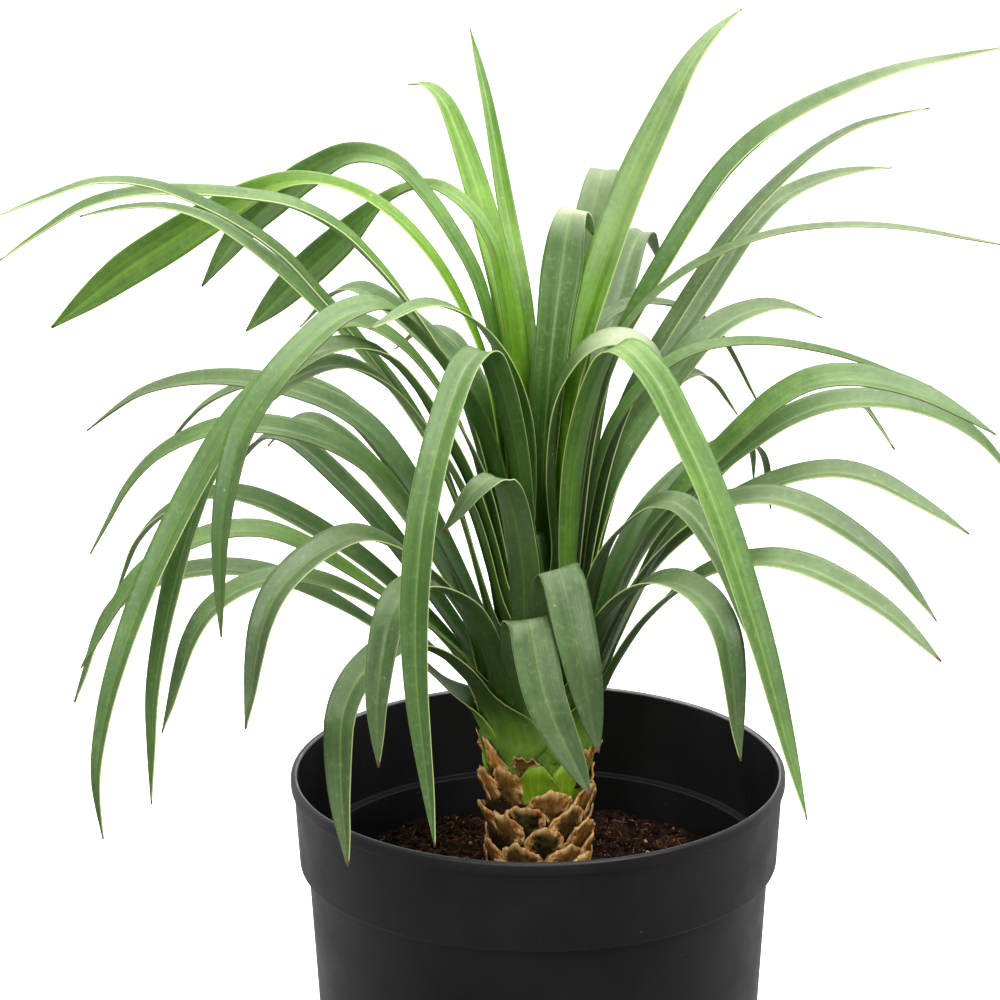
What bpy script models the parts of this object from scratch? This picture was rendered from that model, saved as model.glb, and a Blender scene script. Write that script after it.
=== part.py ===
"""A potted yucca: a scaly stump with a head of long arching leaves, in soil in a round nursery pot.

The origin is the centre of the pot's underside, +Z is up and -Y faces the viewer.
Leaf headings turn from +X (0 degrees) towards +Y (90 degrees).
"""
import itertools
import math
from dataclasses import dataclass

import bmesh
import bpy
from mathutils import Vector, noise
from mathutils.bvhtree import BVHTree

MM = 0.001
GAP = 0.3 * MM
MERGE = 0.05 * MM

# Pot
RIM_RADIUS = 120 * MM
POT_HEIGHT = 210 * MM
RIM_BEAD = 6 * MM
BEAD_INSET = 0.9 * MM
WALL = 2.4 * MM
COLLAR_DEPTH = 46 * MM
COLLAR_STEP = 3 * MM
COLLAR_TOP_RADIUS = 118.5 * MM
COLLAR_FOOT_RADIUS = 116.3 * MM
BODY_TOP_RADIUS = 112.2 * MM
BASE_RADIUS = 103 * MM
BASE_ROUND = 2 * MM
FLOOR = 3 * MM
POT_SIDES = 48

# Soil
SOIL_DEPTH = 64 * MM
SOIL_MOUND = 5 * MM
SOIL_LUMP = 2.5 * MM
SOIL_LUMPS_PER_METRE = 60
SOIL_RINGS = 5

# Trunk: rows of cut leaf bases, like shingles with their tips up
TRUNK_RADIUS = 24 * MM
TRUNK_TOP = 206 * MM
TRUNK_BURIED = 60 * MM
SCALE_ROWS = 5
SCALES_IN_ROW = 10
COLUMNS_PER_SCALE = 6
SCALE_FIRST_TOP = 165 * MM
SCALE_ARCH = 7 * MM
SCALE_STAND = 4.4 * MM
SCALE_LIP = 1.2 * MM
SCALE_UNEVENNESS = 1.6 * MM

# Crown: a row of fresh cut bases, a row of clasping sheaths, then the cone that carries the leaf roots
CROWN_SIDES = 54
CROWN_FOOT_RADIUS = 23 * MM
CUT_BASES = 9
CUT_BASE_TOP = 221 * MM
CUT_BASE_ARCH = 9 * MM
CUT_BASE_STAND = 3.5 * MM
SHEATHS = 6
SHEATH_TOP = 228 * MM
SHEATH_NOTCH = 7 * MM
SHEATH_THICKNESS = 2 * MM
CONE_FOOT_RADIUS = 27 * MM
CONE_FOOT = 229 * MM
CONE_TOP_RADIUS = 3.5 * MM
CONE_TOP = 330 * MM

# Roots: each leaf stands straight out at its heading, above those that lean out more
ROOT_FOOT = 231 * MM
ROOT_STEP = 6.5 * MM
ROOT_WIDTH = 8.5 * MM
ROOT_MAX_TURN = math.radians(50)
ROOT_APART = 1.1
ROOT_LAP = 0.25
ROOT_INSIDE = 0.85
ROOT_RISE = 8 * MM

# Leaf blades
BLADE = 0.9 * MM
BLADE_STEPS = 16
TIP_WIDTH = 1.6 * MM
CHANNEL = math.radians(24)
HEART_RADIUS = 25 * MM
FOLDED_RADIUS = 100 * MM
LIGHT_TURN = math.radians(24)
LIGHT_TURN_SPAN = (0.2, 0.55)
CURVE_PARTS = 16
HEART_REACH = 15
HEART_HEIGHT = 250

# A leaf that would touch another one is turned, and its rise opened outwards, in small steps
SETTLE_CLEARANCE = 0.3 * MM
SETTLE_TURNS = tuple(1.5 * step for step in range(-7, 8))
SETTLE_OPENINGS = (0, 3, 6, 9)
SETTLE_LIFTS = (0, 5, -5, 10)
SETTLE_ROLLS = (0, -15, 15)
SETTLE_ROLL_COST = 0.3
ROLL_END = 0.75


@dataclass(frozen=True)
class Leaf:
    """One leaf: heading in degrees, flat width, and its bends as (reach, height), all lengths in mm.

    The last bend is the tip. sway lists how far each bend lies to the left of the heading.
    """

    heading: float
    width: float
    bends: tuple
    sway: tuple = ()

    @property
    def lean(self):
        """How far the leaf's rise leans out from upright, in radians."""
        reach, height = self.bends[0]
        return math.atan2(reach - HEART_REACH, height - HEART_HEIGHT)


# The leaves that hang nearest the viewer, then those on the left, on the right and behind
LEAVES = (
    Leaf(248, 15, ((30, 389), (72, 438), (128, 395), (148, 325), (152, 229)), (0, 0, 0, 0, 10)),
    Leaf(312, 17, ((28, 380), (58, 434), (102, 394), (143, 323), (179, 236))),
    Leaf(275, 21, ((42, 281), (54, 307), (70, 271), (78, 226)), (-12, -10, -3, 17)),
    Leaf(288, 21, ((36, 299), (46, 327), (66, 289), (72, 243)), (-8, -8, -5, 2)),
    Leaf(252, 16, ((37, 330), (83, 382), (95, 358)), (4, 4, -15)),
    Leaf(230, 13, ((12, 392), (37, 436), (76, 457), (117, 454))),
    Leaf(225, 16, ((31, 381), (59, 424), (103, 459), (170, 422), (188, 375), (191, 323))),
    Leaf(232, 17, ((60, 278), (105, 302), (141, 288), (147, 253), (150, 210)), (0, 0, 0, 0, 6)),
    Leaf(240, 17, ((64, 310), (125, 335), (144, 301), (146, 260))),
    Leaf(308, 17, ((54, 304), (96, 330), (131, 322), (147, 258))),
    Leaf(320, 16, ((43, 331), (80, 361), (105, 344), (128, 301))),
    Leaf(342, 16, ((12, 400), (31, 427), (53, 426), (64, 403))),
    Leaf(76, 17, ((8, 394), (20, 449), (32, 480), (52, 464)), (-2, -6, -10, -16)),
    Leaf(34, 18, ((16, 406), (42, 473), (68, 518), (94, 553), (119, 569))),
    Leaf(156, 16, ((22, 420), (38, 465), (84, 507), (147, 471), (177, 434))),
    Leaf(214, 15, ((38, 361), (95, 436), (149, 424), (210, 345), (239, 268), (238, 229))),
    Leaf(207, 14, ((38, 360), (96, 425), (152, 403), (194, 299), (201, 229))),
    Leaf(219, 17, ((41, 293), (82, 337), (111, 350), (154, 331), (172, 272))),
    Leaf(211, 17, ((37, 375), (74, 428), (105, 441), (129, 419))),
    Leaf(202, 14, ((30, 253), (78, 300), (127, 324), (164, 312), (189, 256))),
    Leaf(197, 15, ((44, 373), (96, 448), (132, 484), (193, 511), (250, 498))),
    Leaf(191, 14, ((33, 266), (81, 308), (137, 340), (185, 325), (219, 278))),
    Leaf(186, 17, ((42, 412), (100, 485), (146, 498), (201, 497), (248, 471))),
    Leaf(179, 14, ((33, 243), (80, 283), (142, 311), (198, 296), (224, 244))),
    Leaf(174, 16, ((46, 368), (99, 435), (158, 480), (187, 484), (217, 479))),
    Leaf(169, 16, ((43, 304), (88, 362), (145, 375), (190, 354), (222, 307))),
    Leaf(165, 16, ((28, 419), (66, 478), (115, 495), (191, 456), (243, 416))),
    Leaf(158, 16, ((45, 309), (97, 372), (160, 384), (218, 372), (256, 347))),
    Leaf(150, 17, ((43, 261), (106, 303), (175, 322), (225, 298), (249, 256))),
    Leaf(145, 14, ((81, 346), (123, 377), (165, 378), (206, 358), (229, 333))),
    Leaf(141, 13, ((73, 292), (118, 328), (167, 348), (206, 314))),
    Leaf(141, 15, ((12, 431), (27, 473), (64, 489), (148, 435), (195, 396))),
    Leaf(134, 12, ((75, 307), (140, 348), (170, 352), (196, 332))),
    Leaf(130, 14, ((42, 385), (92, 413), (142, 423), (184, 395))),
    Leaf(119, 14, ((18, 420), (41, 467), (93, 526), (126, 525))),
    Leaf(98, 9, ((29, 419), (74, 475), (105, 518), (137, 548)), (0, 4, 8, 12)),
    Leaf(351, 20, ((49, 327), (87, 371), (124, 405), (147, 411), (182, 404), (215, 387))),
    Leaf(328, 17, ((57, 292), (89, 322), (132, 337), (182, 324), (213, 304))),
    Leaf(337, 16, ((52, 313), (84, 349), (121, 360), (170, 339), (198, 311))),
    Leaf(345, 16, ((60, 319), (112, 361), (150, 370), (186, 356), (206, 345))),
    Leaf(353, 9, ((35, 419), (60, 451), (104, 474), (154, 480), (219, 471))),
    Leaf(20, 10, ((36, 374), (67, 407), (102, 413), (149, 404), (207, 381))),
    Leaf(29, 13, ((46, 377), (84, 432), (124, 474), (175, 504), (226, 511))),
    Leaf(7, 18, ((35, 407), (65, 462), (105, 513), (161, 542), (224, 555))),
    Leaf(3, 16, ((52, 321), (94, 365), (134, 389), (175, 389), (206, 375), (236, 342))),
    Leaf(36, 18, ((44, 351), (81, 392), (113, 414), (147, 418), (176, 408))),
    Leaf(42, 13, ((51, 364), (108, 416), (163, 460), (214, 469), (260, 466))),
    Leaf(70, 18, ((79, 375), (118, 411), (159, 441), (192, 417))),
    Leaf(85, 18, ((48, 417), (68, 471), (88, 489), (118, 444)), (-15, -22, -27, -22)),
    Leaf(55, 10, ((37, 414), (59, 426), (90, 424), (140, 404), (190, 347))),
    Leaf(21, 12, ((79, 335), (132, 373), (166, 377), (189, 350))),
    Leaf(46, 12, ((88, 324), (137, 343), (162, 337), (173, 302))),
    Leaf(49, 12, ((62, 355), (109, 383), (128, 380), (156, 354))),
    Leaf(58, 11, ((99, 310), (176, 326), (211, 324), (218, 298))),
    Leaf(113, 10, ((51, 362), (94, 397), (134, 398), (182, 376))),
    Leaf(100, 16, ((60, 297), (110, 350), (140, 358), (170, 327))),
)


def clear_scene():
    """Remove every object that the scene holds."""
    for obj in list(bpy.data.objects):
        bpy.data.objects.remove(obj, do_unlink=True)


def plain_material(name, colour, roughness, metallic=0.0):
    """Make a Principled BSDF material of one colour."""
    material = bpy.data.materials.new(name)
    material.use_nodes = True
    shader = material.node_tree.nodes["Principled BSDF"]
    shader.inputs["Base Color"].default_value = (*colour, 1.0)
    shader.inputs["Roughness"].default_value = roughness
    shader.inputs["Metallic"].default_value = metallic
    return material


def add_object(name, mesh, material, collection):
    """Put a mesh in the part's collection under its node's name."""
    mesh.materials.clear()
    mesh.materials.append(material)
    obj = bpy.data.objects.new(name, mesh)
    collection.objects.link(obj)
    return obj


def mesh_from(name, bm):
    """Turn an edit mesh into a mesh with its faces pointing out."""
    bmesh.ops.recalc_face_normals(bm, faces=bm.faces)
    mesh = bpy.data.meshes.new(name)
    bm.to_mesh(mesh)
    bm.free()
    return mesh


def shade_round(mesh, crease_degrees):
    """Smooth a round piece but keep its creases sharp."""
    mesh.shade_smooth()
    mesh.set_sharp_from_angle(angle=math.radians(crease_degrees))


def around(angle, radius, height):
    """Point at an angle, a radius and a height round the plant's axis."""
    return Vector((radius * math.cos(angle), radius * math.sin(angle), height))


def turned_object(name, profile, sides, material, collection):
    """Turn a profile of (radius, height) points round the Z axis. The profile runs down the outer side."""
    bm = bmesh.new()
    points = [bm.verts.new((radius, 0.0, height)) for radius, height in profile]
    for pair in zip(points, points[1:]):
        bm.edges.new(pair)
    mesh = bpy.data.meshes.new(name)
    bm.to_mesh(mesh)
    bm.free()
    obj = add_object(name, mesh, material, collection)
    screw = obj.modifiers.new("Turn", "SCREW")
    screw.axis = "Z"
    screw.steps = sides
    screw.render_steps = sides
    screw.use_merge_vertices = True
    screw.merge_threshold = MERGE
    screw.use_smooth_shade = False
    return obj


def make_real(obj):
    """Apply an object's modifiers and leave a plain mesh of its own."""
    bpy.context.view_layer.update()
    mesh = bpy.data.meshes.new_from_object(obj.evaluated_get(bpy.context.evaluated_depsgraph_get()))
    obj.modifiers.clear()
    obj.data = mesh
    return mesh


def ringed_mesh(name, rings, sides):
    """A closed stem whose rings, listed from the foot up, each give (radius, height) at an angle."""
    bm = bmesh.new()
    bmesh.ops.create_grid(bm, x_segments=sides, y_segments=len(rings) - 1, size=1.0)
    for vertex in bm.verts:
        angle = math.pi * (vertex.co.x + 1)
        ring = rings[round((vertex.co.y + 1) / 2 * (len(rings) - 1))]
        vertex.co = around(angle, *ring(angle))
    bmesh.ops.remove_doubles(bm, verts=bm.verts, dist=MERGE)
    bmesh.ops.holes_fill(bm, edges=[edge for edge in bm.edges if edge.is_boundary], sides=0)
    return mesh_from(name, bm)


def plain_ring(radius, height):
    """A round, level ring."""
    return lambda angle: (radius, height)


def body_radius(height):
    """Outer radius of the pot's body below the collar."""
    share = height / (POT_HEIGHT - COLLAR_DEPTH)
    return BASE_RADIUS + (BODY_TOP_RADIUS - BASE_RADIUS) * share


def pot_profile():
    """The pot's section, from the middle of the floor up the inside, over the rim and down the outside."""
    collar_foot = POT_HEIGHT - COLLAR_DEPTH
    inner = [
        (0.0, FLOOR),
        (body_radius(FLOOR) - WALL - BASE_ROUND, FLOOR),
        (body_radius(FLOOR + BASE_ROUND) - WALL, FLOOR + BASE_ROUND),
        (BODY_TOP_RADIUS - WALL, collar_foot),
        (COLLAR_FOOT_RADIUS - WALL, collar_foot + COLLAR_STEP),
        (RIM_RADIUS - WALL - BEAD_INSET, POT_HEIGHT - BEAD_INSET),
        (RIM_RADIUS - WALL, POT_HEIGHT),
    ]
    outer = [
        (RIM_RADIUS - BEAD_INSET, POT_HEIGHT),
        (RIM_RADIUS, POT_HEIGHT - BEAD_INSET),
        (RIM_RADIUS, POT_HEIGHT - RIM_BEAD),
        (COLLAR_TOP_RADIUS, POT_HEIGHT - RIM_BEAD - BEAD_INSET),
        (COLLAR_FOOT_RADIUS, collar_foot + BEAD_INSET),
        (COLLAR_FOOT_RADIUS - BEAD_INSET, collar_foot),
        (BODY_TOP_RADIUS, collar_foot - COLLAR_STEP / 2),
        (body_radius(BASE_ROUND), BASE_ROUND),
        (BASE_RADIUS - BASE_ROUND, 0.0),
        (0.0, 0.0),
    ]
    return inner + outer


def build_pot(collection):
    """The turned nursery pot."""
    material = plain_material("pot_plastic", (0.018, 0.018, 0.02), 0.5)
    pot = turned_object("pot", pot_profile(), POT_SIDES, material, collection)
    shade_round(make_real(pot), 30)
    return pot


def build_soil(collection):
    """The potting mix, lumpy on top, with a plain blind hole for the stem."""
    material = plain_material("soil_mix", (0.05, 0.032, 0.022), 1.0)
    surface = POT_HEIGHT - SOIL_DEPTH
    hole = TRUNK_RADIUS + 2 * GAP
    outer_top = body_radius(surface) - WALL - 2 * GAP
    outer_foot = body_radius(FLOOR + BASE_ROUND) - WALL - 2 * GAP
    top = []
    for ring in range(SOIL_RINGS + 1):
        share = ring / SOIL_RINGS
        top.append((hole + (outer_top - hole) * share, surface + SOIL_MOUND * (1 - share) ** 2))
    profile = [(0.0, surface - TRUNK_BURIED), (hole, surface - TRUNK_BURIED)] + top
    profile.append((outer_foot, FLOOR + BASE_ROUND + GAP))
    profile += [(outer_foot - BASE_ROUND, FLOOR + GAP), (0.0, FLOOR + GAP)]
    soil = turned_object("soil", profile, POT_SIDES, material, collection)
    for vertex in make_real(soil).vertices:
        radius = math.hypot(vertex.co.x, vertex.co.y)
        if vertex.co.z > surface - GAP and hole + GAP < radius < outer_top - GAP:
            vertex.co.z += SOIL_LUMP * noise.noise(vertex.co * SOIL_LUMPS_PER_METRE)
    return soil


def place_in_row(angle, count, row):
    """Which repeat of a staggered row an angle meets, and how near, 0 to 1, it is to the repeat's middle."""
    turns = angle / (2 * math.pi) * count + 0.5 * (row % 2)
    nearness = 1 - abs(2 * (turns % 1) - 1)
    return int(turns) % count, nearness


def scale_row(row):
    """The rings of one row of cut leaf bases: their faces, their standing tips and the lip behind them."""
    top = SCALE_FIRST_TOP + row * (TRUNK_TOP - SCALE_LIP - SCALE_FIRST_TOP) / (SCALE_ROWS - 1)

    def shape(angle):
        number, nearness = place_in_row(angle, SCALES_IN_ROW, row)
        arch = math.sin(nearness * math.pi / 2)
        uneven = SCALE_UNEVENNESS * noise.noise(Vector((number * 1.7, row * 2.3, 0.5)))
        return arch, uneven

    def face(angle):
        arch, uneven = shape(angle)
        height = top - SCALE_ARCH * (1.35 - arch) - SCALE_UNEVENNESS + uneven / 2
        return TRUNK_RADIUS + SCALE_STAND * (0.15 + 0.35 * arch) + uneven / 2, height

    def tip(angle):
        arch, uneven = shape(angle)
        radius = TRUNK_RADIUS + SCALE_STAND * (0.2 + 0.8 * arch) + uneven
        return radius, top - SCALE_ARCH * (1 - arch) + uneven / 3

    def lip(angle):
        radius, height = tip(angle)
        return max(TRUNK_RADIUS, radius - 2 * SCALE_LIP), height + SCALE_LIP * 0.4

    return [face, tip, lip]


def build_trunk(collection):
    """The brown stump: a plain buried stem, then rows of cut leaf bases above the soil."""
    material = plain_material("trunk_bark", (0.36, 0.2, 0.09), 0.85)
    foot = POT_HEIGHT - SOIL_DEPTH - TRUNK_BURIED + GAP
    collar = POT_HEIGHT - SOIL_DEPTH + SOIL_MOUND
    rings = [plain_ring(TRUNK_RADIUS, foot), plain_ring(TRUNK_RADIUS, collar)]
    for row in range(SCALE_ROWS):
        rings += scale_row(row)
    rings.append(plain_ring(CROWN_FOOT_RADIUS - SCALE_LIP, TRUNK_TOP))
    mesh = ringed_mesh("trunk", rings, SCALES_IN_ROW * COLUMNS_PER_SCALE)
    shade_round(mesh, 50)
    return add_object("trunk", mesh, material, collection)


def angle_between(first, second):
    """Signed turn from one angle to another, at most half a circle."""
    return (second - first + math.pi) % (2 * math.pi) - math.pi


def cone_radius(height):
    """Radius of the crown's cone at a height."""
    share = (height - CONE_FOOT) / (CONE_TOP - CONE_FOOT)
    return CONE_FOOT_RADIUS + (CONE_TOP_RADIUS - CONE_FOOT_RADIUS) * share


def root_half_angle(height):
    """Half the angle that a leaf's root takes of the cone."""
    return min(ROOT_MAX_TURN, ROOT_WIDTH / 2 / cone_radius(height))


def root_height(leaf, angle, taken):
    """Lowest height at which a leaf's root stands inside its rise and above all those placed under it."""
    inside = leaf.bends[0][0] * MM * ROOT_INSIDE
    share = (CONE_FOOT_RADIUS - inside) / (CONE_FOOT_RADIUS - CONE_TOP_RADIUS)
    height = max(ROOT_FOOT, CONE_FOOT + (CONE_TOP - CONE_FOOT) * share)
    raised = True
    while raised:
        raised = False
        for other_angle, other_height in taken:
            share = abs(angle_between(angle, other_angle)) / (2 * ROOT_APART * root_half_angle(height))
            least = other_height + ROOT_STEP * (1 - ROOT_LAP * share)
            if share < 1 and height < least:
                height = least
                raised = True
    return height


def root_places():
    """Angle and height of each leaf's root: at its heading, above the roots of leaves that lean out more."""
    places = {}
    order = sorted(range(len(LEAVES)), key=lambda number: LEAVES[number].lean, reverse=True)
    for number in order:
        angle = math.radians(LEAVES[number].heading)
        places[number] = (angle, root_height(LEAVES[number], angle, list(places.values())))
    return places


def cut_base_rings():
    """The rings of the row of fresh cut bases under the leaves."""
    foot = TRUNK_TOP + GAP

    def face(angle):
        _, nearness = place_in_row(angle, CUT_BASES, 0)
        arch = math.sin(nearness * math.pi / 2)
        return CROWN_FOOT_RADIUS + CUT_BASE_STAND * (0.4 + 0.6 * arch), foot + (CUT_BASE_TOP - foot) * 0.4

    def tip(angle):
        _, nearness = place_in_row(angle, CUT_BASES, 0)
        arch = math.sin(nearness * math.pi / 2)
        radius = CROWN_FOOT_RADIUS + CUT_BASE_STAND * (0.5 + 0.6 * arch)
        return radius, CUT_BASE_TOP - CUT_BASE_ARCH * (1 - arch)

    def lip(angle):
        radius, height = tip(angle)
        return radius - SCALE_LIP, height + GAP

    return [plain_ring(CROWN_FOOT_RADIUS, foot), face, tip, lip]


def sheath_rings():
    """The rings of the row of clasping leaf bases, which peak with a sharp notch between."""
    def crest(angle):
        _, nearness = place_in_row(angle, SHEATHS, 1)
        return SHEATH_TOP - SHEATH_NOTCH * (1 - nearness)

    def outer(angle):
        return CONE_FOOT_RADIUS + SHEATH_THICKNESS, crest(angle)

    def inner(angle):
        return CONE_FOOT_RADIUS, crest(angle) + GAP

    return [outer, inner]


def build_crown(collection):
    """The green top of the stem: fresh cut bases, clasping bases and the cone that carries the leaves."""
    material = plain_material("crown_green", (0.24, 0.4, 0.04), 0.5)
    rings = cut_base_rings() + sheath_rings()
    rings += [plain_ring(CONE_FOOT_RADIUS, CONE_FOOT), plain_ring(CONE_TOP_RADIUS, CONE_TOP)]
    mesh = ringed_mesh("crown", rings, CROWN_SIDES)
    shade_round(mesh, 50)
    return add_object("crown", mesh, material, collection)


def curve_between(before, start, end, after, share):
    """Centripetal Catmull-Rom point between two bends."""
    pairs = ((before, start), (start, end), (end, after))
    spans = [math.sqrt(max((second - first).length, MERGE)) for first, second in pairs]
    leave = (start - before) / spans[0] - (end - before) / (spans[0] + spans[1]) + (end - start) / spans[1]
    arrive = (end - start) / spans[1] - (after - start) / (spans[1] + spans[2]) + (after - end) / spans[2]
    square = share * share
    cube = share * square
    return (
        start * (2 * cube - 3 * square + 1) + leave * spans[1] * (cube - 2 * square + share)
        + end * (3 * square - 2 * cube) + arrive * spans[1] * (cube - square)
    )


def leaf_course(leaf, root, heading, opening, lift):
    """Even points along a leaf's midrib, from its root to its tip.

    opening moves the rise outwards by so many millimetres, less and less towards the tip, and lift raises
    every bend.
    """
    sways = leaf.sway or (0,) * len(leaf.bends)
    knots = [root, root + Vector((0.0, 0.0, ROOT_RISE))]
    for number, ((reach, height), sway) in enumerate(zip(leaf.bends, sways)):
        share = 1 - number / (len(leaf.bends) - 1)
        out = around(heading, (reach + opening * share) * MM, (height + lift) * MM)
        knots.append(out + around(heading + math.pi / 2, sway * MM, 0.0))
    knots = [2 * knots[0] - knots[1]] + knots + [2 * knots[-1] - knots[-2]]
    fine = []
    for number in range(1, len(knots) - 2):
        for part in range(CURVE_PARTS):
            fine.append(curve_between(*knots[number - 1:number + 3], part / CURVE_PARTS))
    fine.append(knots[-2])
    travelled = [0.0]
    for first, second in zip(fine, fine[1:]):
        travelled.append(travelled[-1] + (second - first).length)
    course = []
    index = 0
    for step in range(BLADE_STEPS + 1):
        goal = travelled[-1] * step / BLADE_STEPS
        while index < len(fine) - 2 and travelled[index + 1] < goal:
            index += 1
        span = travelled[index + 1] - travelled[index]
        course.append(fine[index].lerp(fine[index + 1], (goal - travelled[index]) / span))
    return course


def smooth_share(value, start, end):
    """0 up to the start, 1 from the end on, with an even S between."""
    share = min(1.0, max(0.0, (value - start) / (end - start)))
    return share * share * (3 - 2 * share)


def blade_half_width(leaf, root_half, share):
    """Half the blade's flat width at a share of its length."""
    full = leaf.width * MM / 2
    widening_end = 0.45
    taper_start = 0.6
    if share < widening_end:
        return root_half + (full - root_half) * smooth_share(share, 0.0, widening_end)
    taper = max(0.0, share - taper_start) / (1 - taper_start)
    return full + (TIP_WIDTH / 2 - full) * taper ** 2.4


def rolled(side, along, roll):
    """Sideways and upper directions of a blade turned about its midrib."""
    side = (side - along * side.dot(along)).normalized()
    normal = along.cross(side)
    return side * math.cos(roll) + normal * math.sin(roll), normal * math.cos(roll) - side * math.sin(roll)


def blade_solid(leaf, place, pose, thickness):
    """A thin channelled blade laid along the leaf's course, split in triangles alike on both faces."""
    angle, foot = place
    heading, opening, lift, roll = pose
    spread_angle = root_half_angle(foot)
    hug = cone_radius(foot) * (1 - math.cos(spread_angle / 2))
    radius = cone_radius(foot) + GAP + BLADE / 2 + hug
    root_half = radius * spread_angle
    course = leaf_course(leaf, around(angle, radius, foot), heading, opening, lift)
    turn = angle_between(angle, heading)
    bm = bmesh.new()
    bmesh.ops.create_grid(bm, x_segments=BLADE_STEPS, y_segments=2, size=1.0)
    normals = {}
    for vertex in bm.verts:
        share = (vertex.co.x + 1) / 2
        across = vertex.co.y
        step = round(share * BLADE_STEPS)
        along = (course[min(step + 1, BLADE_STEPS)] - course[max(step - 1, 0)]).normalized()
        if step == 0:
            along = Vector((0.0, 0.0, 1.0))
        side = around(angle + turn * min(1.0, share * 4) + math.pi / 2, 1.0, 0.0)
        lit = LIGHT_TURN * math.cos(heading) * smooth_share(share, *LIGHT_TURN_SPAN)
        side, normal = rolled(side, along, lit + roll * math.sin(math.pi * min(1.0, share / ROLL_END)))
        half = blade_half_width(leaf, root_half, share)
        from_axis = math.hypot(course[step].x, course[step].y)
        folding = smooth_share(from_axis, HEART_RADIUS, FOLDED_RADIUS)
        round_heart = min(CHANNEL, half / (2 * from_axis))
        channel = round_heart + (CHANNEL - round_heart) * folding
        spread = side * (across * half * math.cos(channel))
        rise = normal * (abs(across) * half * math.sin(channel))
        vertex.co = course[step] + spread + rise - normal * thickness / 2
        normals[vertex] = normal
    bmesh.ops.triangulate(bm, faces=bm.faces, quad_method="SHORT_EDGE")
    outline = [edge for edge in bm.edges if edge.is_boundary]
    upper = bmesh.ops.duplicate(bm, geom=bm.verts[:] + bm.edges[:] + bm.faces[:])
    for vertex, normal in normals.items():
        upper["vert_map"][vertex].co = vertex.co + normal * thickness
    bmesh.ops.bridge_loops(bm, edges=outline + [upper["edge_map"][edge] for edge in outline])
    bmesh.ops.recalc_face_normals(bm, faces=bm.faces)
    return bm


def settle_choices():
    """Turns, openings, lifts and rolls to try, the smallest first."""
    choices = itertools.product(SETTLE_TURNS, SETTLE_OPENINGS, SETTLE_LIFTS, SETTLE_ROLLS)

    def cost(choice):
        turn, opening, lift, roll = choice
        return abs(turn) + opening + abs(lift) + SETTLE_ROLL_COST * abs(roll)

    return sorted(choices, key=cost)


def settled(leaf, place, placed, crown):
    """Heading, opening, lift and roll at which a leaf's blade is clear of the crown and all placed blades."""
    for turn, opening, lift, roll in settle_choices():
        pose = (math.radians(leaf.heading + turn), opening, lift, math.radians(roll))
        blade = blade_solid(leaf, place, pose, BLADE)
        blocked = bool(BVHTree.FromBMesh(blade).overlap(crown))
        blade.free()
        if blocked:
            continue
        probe = blade_solid(leaf, place, pose, BLADE + 2 * SETTLE_CLEARANCE)
        tree = BVHTree.FromBMesh(probe)
        probe.free()
        if not any(tree.overlap(other) for other in placed):
            return pose
    raise ValueError(f"the leaf at {leaf.heading} degrees finds no clear place")


def build_leaves(collection, places, crown, others):
    """All leaves, each clear of the pieces placed before it."""
    material = plain_material("leaf_green", (0.1, 0.24, 0.04), 0.42)
    graph = bpy.context.evaluated_depsgraph_get()
    crown_tree = BVHTree.FromObject(crown, graph)
    placed = [BVHTree.FromObject(obj, graph) for obj in others]
    for number, leaf in enumerate(LEAVES):
        pose = settled(leaf, places[number], placed, crown_tree)
        bm = blade_solid(leaf, places[number], pose, BLADE)
        placed.append(BVHTree.FromBMesh(bm))
        mesh = mesh_from(f"leaf_{number + 1:02d}", bm)
        shade_round(mesh, 40)
        add_object(f"leaf_{number + 1:02d}", mesh, material, collection)


def main():
    """Build the potted yucca."""
    clear_scene()
    collection = bpy.data.collections.new("Potted yucca")
    bpy.context.scene.collection.children.link(collection)
    places = root_places()
    pot = build_pot(collection)
    soil = build_soil(collection)
    build_trunk(collection)
    crown = build_crown(collection)
    build_leaves(collection, places, crown, [pot, soil])


main()
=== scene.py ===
"""Looks of a potted yucca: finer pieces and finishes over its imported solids.

The origin is the centre of the pot's underside, +Z is up and -Y faces the viewer. Lengths are in metres.
"""

import logging
import math
import random
from dataclasses import dataclass
from enum import Enum
from typing import Sequence

import bmesh
import bpy
from mathutils import Matrix, Vector, noise


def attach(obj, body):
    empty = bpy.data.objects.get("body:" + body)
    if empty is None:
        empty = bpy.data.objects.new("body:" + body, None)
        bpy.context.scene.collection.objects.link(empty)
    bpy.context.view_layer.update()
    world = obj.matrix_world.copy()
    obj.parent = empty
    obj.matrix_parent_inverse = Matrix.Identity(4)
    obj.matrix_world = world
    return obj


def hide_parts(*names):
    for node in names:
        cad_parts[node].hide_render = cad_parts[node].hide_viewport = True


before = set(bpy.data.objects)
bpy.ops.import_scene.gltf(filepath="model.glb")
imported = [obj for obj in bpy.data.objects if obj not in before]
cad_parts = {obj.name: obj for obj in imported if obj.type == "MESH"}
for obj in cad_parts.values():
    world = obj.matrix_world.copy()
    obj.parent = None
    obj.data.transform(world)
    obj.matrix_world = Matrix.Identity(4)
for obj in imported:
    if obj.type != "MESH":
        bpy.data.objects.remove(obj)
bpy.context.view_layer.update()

LOG = logging.getLogger("potted_yucca")
MM = 0.001
MERGE = 0.02 * MM
BODY = "root"
UV_NAME = "UVMap"
WEATHERED = "weathered"

Colour = tuple[float, float, float, float]
Span = tuple[float, float]
Scale3 = tuple[float, float, float]
Socket = bpy.types.NodeSocket


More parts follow.
